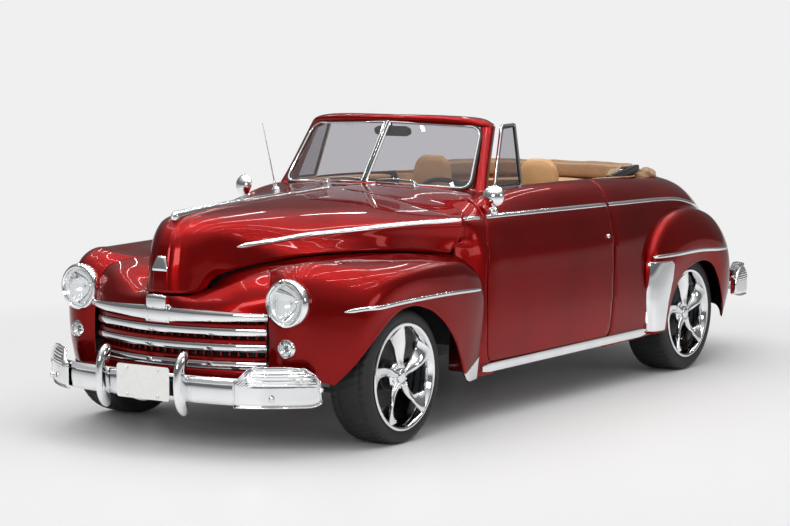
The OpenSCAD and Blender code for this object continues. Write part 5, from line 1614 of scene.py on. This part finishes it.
a = np.linspace(0, 2 * math.pi, 96, endpoint=False)
gripLine = np.stack([np.cos(a) * steering["radius"], np.sin(a) * steering["radius"], 0 * a], 1)
bumps = 1 + 0.03 * np.cos(a * steering["fingerGrips"])
grip = sweep(gripLine, (0, 0, 1), oval(25, 27, 16), bumps, closed=True)
finishPiece("wheelGrip", onColumn(grip), blackTrim, "steering_wheel", replaces="steering_wheel")
arms = []
for k in range(3):
    c, s = math.cos(math.radians(90 + 120 * k)), math.sin(math.radians(90 + 120 * k))
    for shift in (-steering["spokeGap"], steering["spokeGap"]):
        line = [(c * r - s * shift, s * r + c * shift, z) for r, z in ((28, 4), (80, -4), (140, -6), (190, -1))]
        arms.append(sweep(line, (0, 0, 1), oval(11, 5, 12, 3)))
hub = turned([(0, 24), (26, 21), (40, 12), (44, 2), (42, -14), (30, -26), (18, -30), (18, -40)], (0, 0, 0),
             (0, 0, 1), 48)
finishPiece("wheelSpokes", onColumn(*arms, hub), chrome, "steering_wheel")
column = turned([(17, -38), (22, -46), (22, -190), (17, -200), (17, -584), (0, -584)], (0, 0, 0), (0, 0, 1), 36)
finishPiece("wheelColumn", onColumn(column), blackTrim, "steering_wheel")
glassBack = sweep([(x, 1196 - abs(x) * 0.05, 1378) for x in np.linspace(-112, 112, 20)], (0, -0.2, 1),
                  oval(20, 54, 18, 3), ends(20, 0.5, 0.5))
stem = sweep([(0, 1172, 1420), (0, 1182, 1400), (0, 1192, 1384)], (0, 1, 0), oval(12, 10, 10))
finishPiece("insideMirror", joined(glassBack, stem), blackTrim)
print("dash made")

keptSolids = {"chassis_frame": frameBlack, "floor_pan": carpet, "grille": paint, "engine_bay": frameBlack,
              "engine": enginePaint, "driveline": steel, "exhaust": steel, "fuel_tank": frameBlack,
              "rear_axle": frameBlack, "front_suspension": frameBlack, "dashboard": paint,
              "knuckle_left": steel, "knuckle_right": steel}
for name, finish in keptSolids.items():
    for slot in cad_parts[name].material_slots:
        slot.material = finish.data
print("solids finished")

studio = {"floor": 30.0, "floorColour": (0.84, 0.84, 0.84), "backdrop": 0.87, "fill": 0.62,
          "clearRadius": (2.5, 4.6), "strips": 9, "stripRows": 3, "stripPower": 9.5, "stripSize": (0.026, 2.6),
          "stripStep": 0.9, "stripGap": 3.0, "stripTurn": 0.55, "stripHeight": 4.4, "lampSize": (3, 1.6),
          "sidePower": 45, "frontPower": 120,
          "mirrored": ((0.0, 0.55), (0.502, 0.50), (0.525, 0.13), (0.70, 0.20), (0.86, 0.8), (1.0, 1.5))}
view = {"place": (6505.16, -8441.74, 1823.95), "yaw": 0.592820, "pitch": -0.097272, "roll": 0.003540,
        "sensor": 36, "lens": 102.0707089, "far": 200}  # place in mm, angles in radians


def lightPaths(finish, *names):  # 1 for the kinds of ray that are named
    paths = [finish.node("ShaderNodeLightPath", out=name) for name in names]
    return finish.node("ShaderNodeMath", {"operation": "MAXIMUM"}, {0: paths[0], 1: paths[-1]})


def makeStage():
    bm = bmesh.new()
    bmesh.ops.create_grid(bm, x_segments=1, y_segments=1, size=studio["floor"])
    mesh = bpy.data.meshes.new("floor")
    bm.to_mesh(mesh)
    bm.free()
    floor = bpy.data.objects.new("floor", mesh)
    bpy.context.scene.collection.objects.link(floor)
    pale = Finish("paleFloor", None, baseColor=studio["floorColour"], roughness=0.36, specularIorLevel=0.12)
    x, y = pale.axis(0), pale.axis(1)
    away = ((x * x + y * y) ** 0.5).fade(*studio["clearRadius"])
    white = pale.node("ShaderNodeEmission", {}, {"Color": (studio["backdrop"],) * 3})
    seen = lightPaths(pale, "Is Camera Ray", "Is Transmission Ray") * away
    mixed = pale.node("ShaderNodeMixShader", {}, {0: seen})
    pale.tree.links.new(pale.shader.outputs[0], mixed.socket.node.inputs[1])
    pale.tree.links.new(white.socket, mixed.socket.node.inputs[2])
    pale.tree.links.new(mixed.socket, pale.output.inputs["Surface"])
    mesh.materials.append(pale.data)


class WorldFinish(Finish):  # the same node helpers, for the world
    def __init__(self, world):
        world.use_nodes = True
        self.tree = world.node_tree
        self.tree.nodes.clear()


def makeWorld():  # pale behind the car; darker overhead where polished metal mirrors it
    world = bpy.data.worlds.new("studio")
    sky = WorldFinish(world)
    height = sky.node("ShaderNodeSeparateXYZ", {}, {0: sky.node("ShaderNodeTexCoord", out="Generated")}, 2)
    stops = [(spot, (grey,) * 3) for spot, grey in studio["mirrored"]]
    mirrored = sky.node("ShaderNodeValToRGB", {"stops": stops}, {0: height * 0.5 + 0.5})
    soft = sky.blend(sky.node("ShaderNodeLightPath", out="Is Glossy Ray"), (studio["fill"],) * 3, mirrored)
    seen = lightPaths(sky, "Is Camera Ray", "Is Transmission Ray")
    shade = sky.blend(seen, soft, (studio["backdrop"],) * 3)
    light = sky.node("ShaderNodeBackground", {}, {"Color": shade, "Strength": 1.0})
    output = sky.tree.nodes.new("ShaderNodeOutputWorld")
    sky.tree.links.new(light.socket, output.inputs["Surface"])
    bpy.context.scene.world = world


def softLamp(name, spot, aim, size, power, turn=0.0):
    data = bpy.data.lights.new(name, "AREA")
    data.shape, data.size, data.size_y, data.energy = "RECTANGLE", size[0], size[1], power
    lamp = bpy.data.objects.new(name, data)
    bpy.context.scene.collection.objects.link(lamp)
    lamp.location = spot
    lamp.rotation_euler = (Vector(aim) - Vector(spot)).to_track_quat("-Z", "Y").to_euler()
    lamp.rotation_euler.rotate_axis("Z", turn)


def makeCamera():
    data = bpy.data.cameras.new("camera")
    data.sensor_width, data.lens = view["sensor"], view["lens"]
    data.clip_end = view["far"]
    camera = bpy.data.objects.new("camera", data)
    bpy.context.scene.collection.objects.link(camera)
    yaw, pitch, roll = view["yaw"], view["pitch"], view["roll"]
    forward = Vector((-math.sin(yaw) * math.cos(pitch), math.cos(yaw) * math.cos(pitch), math.sin(pitch)))
    right = Vector((math.cos(yaw), math.sin(yaw), 0))
    up = right.cross(forward)
    side = right * math.cos(roll) + up * math.sin(roll)
    top = up * math.cos(roll) - right * math.sin(roll)
    turn = Matrix((side, top, -forward)).transposed().to_4x4()
    camera.matrix_world = Matrix.Translation(at(*view["place"])) @ turn
    bpy.context.scene.camera = camera


makeStage()
makeWorld()
makeCamera()
softLamp("front", (2.5, -9, 3.4), (0, -1, 0.7), studio["lampSize"], studio["frontPower"])
softLamp("side", (9, 0.5, 3.2), (0, 0, 0.6), studio["lampSize"], studio["sidePower"])
for k in range(studio["strips"]):
    x = studio["stripStep"] * (k - (studio["strips"] - 1) / 2)
    for row in range(studio["stripRows"]):
        y = (row - 1) * studio["stripGap"]
        spot = Matrix.Rotation(studio["stripTurn"], 3, "Z") @ Vector((x, y, studio["stripHeight"]))
        softLamp(f"strip{k}{row}", spot, (spot.x, spot.y, 0), studio["stripSize"], studio["stripPower"],
                 studio["stripTurn"])
bpy.context.scene.view_settings.view_transform = "Standard"
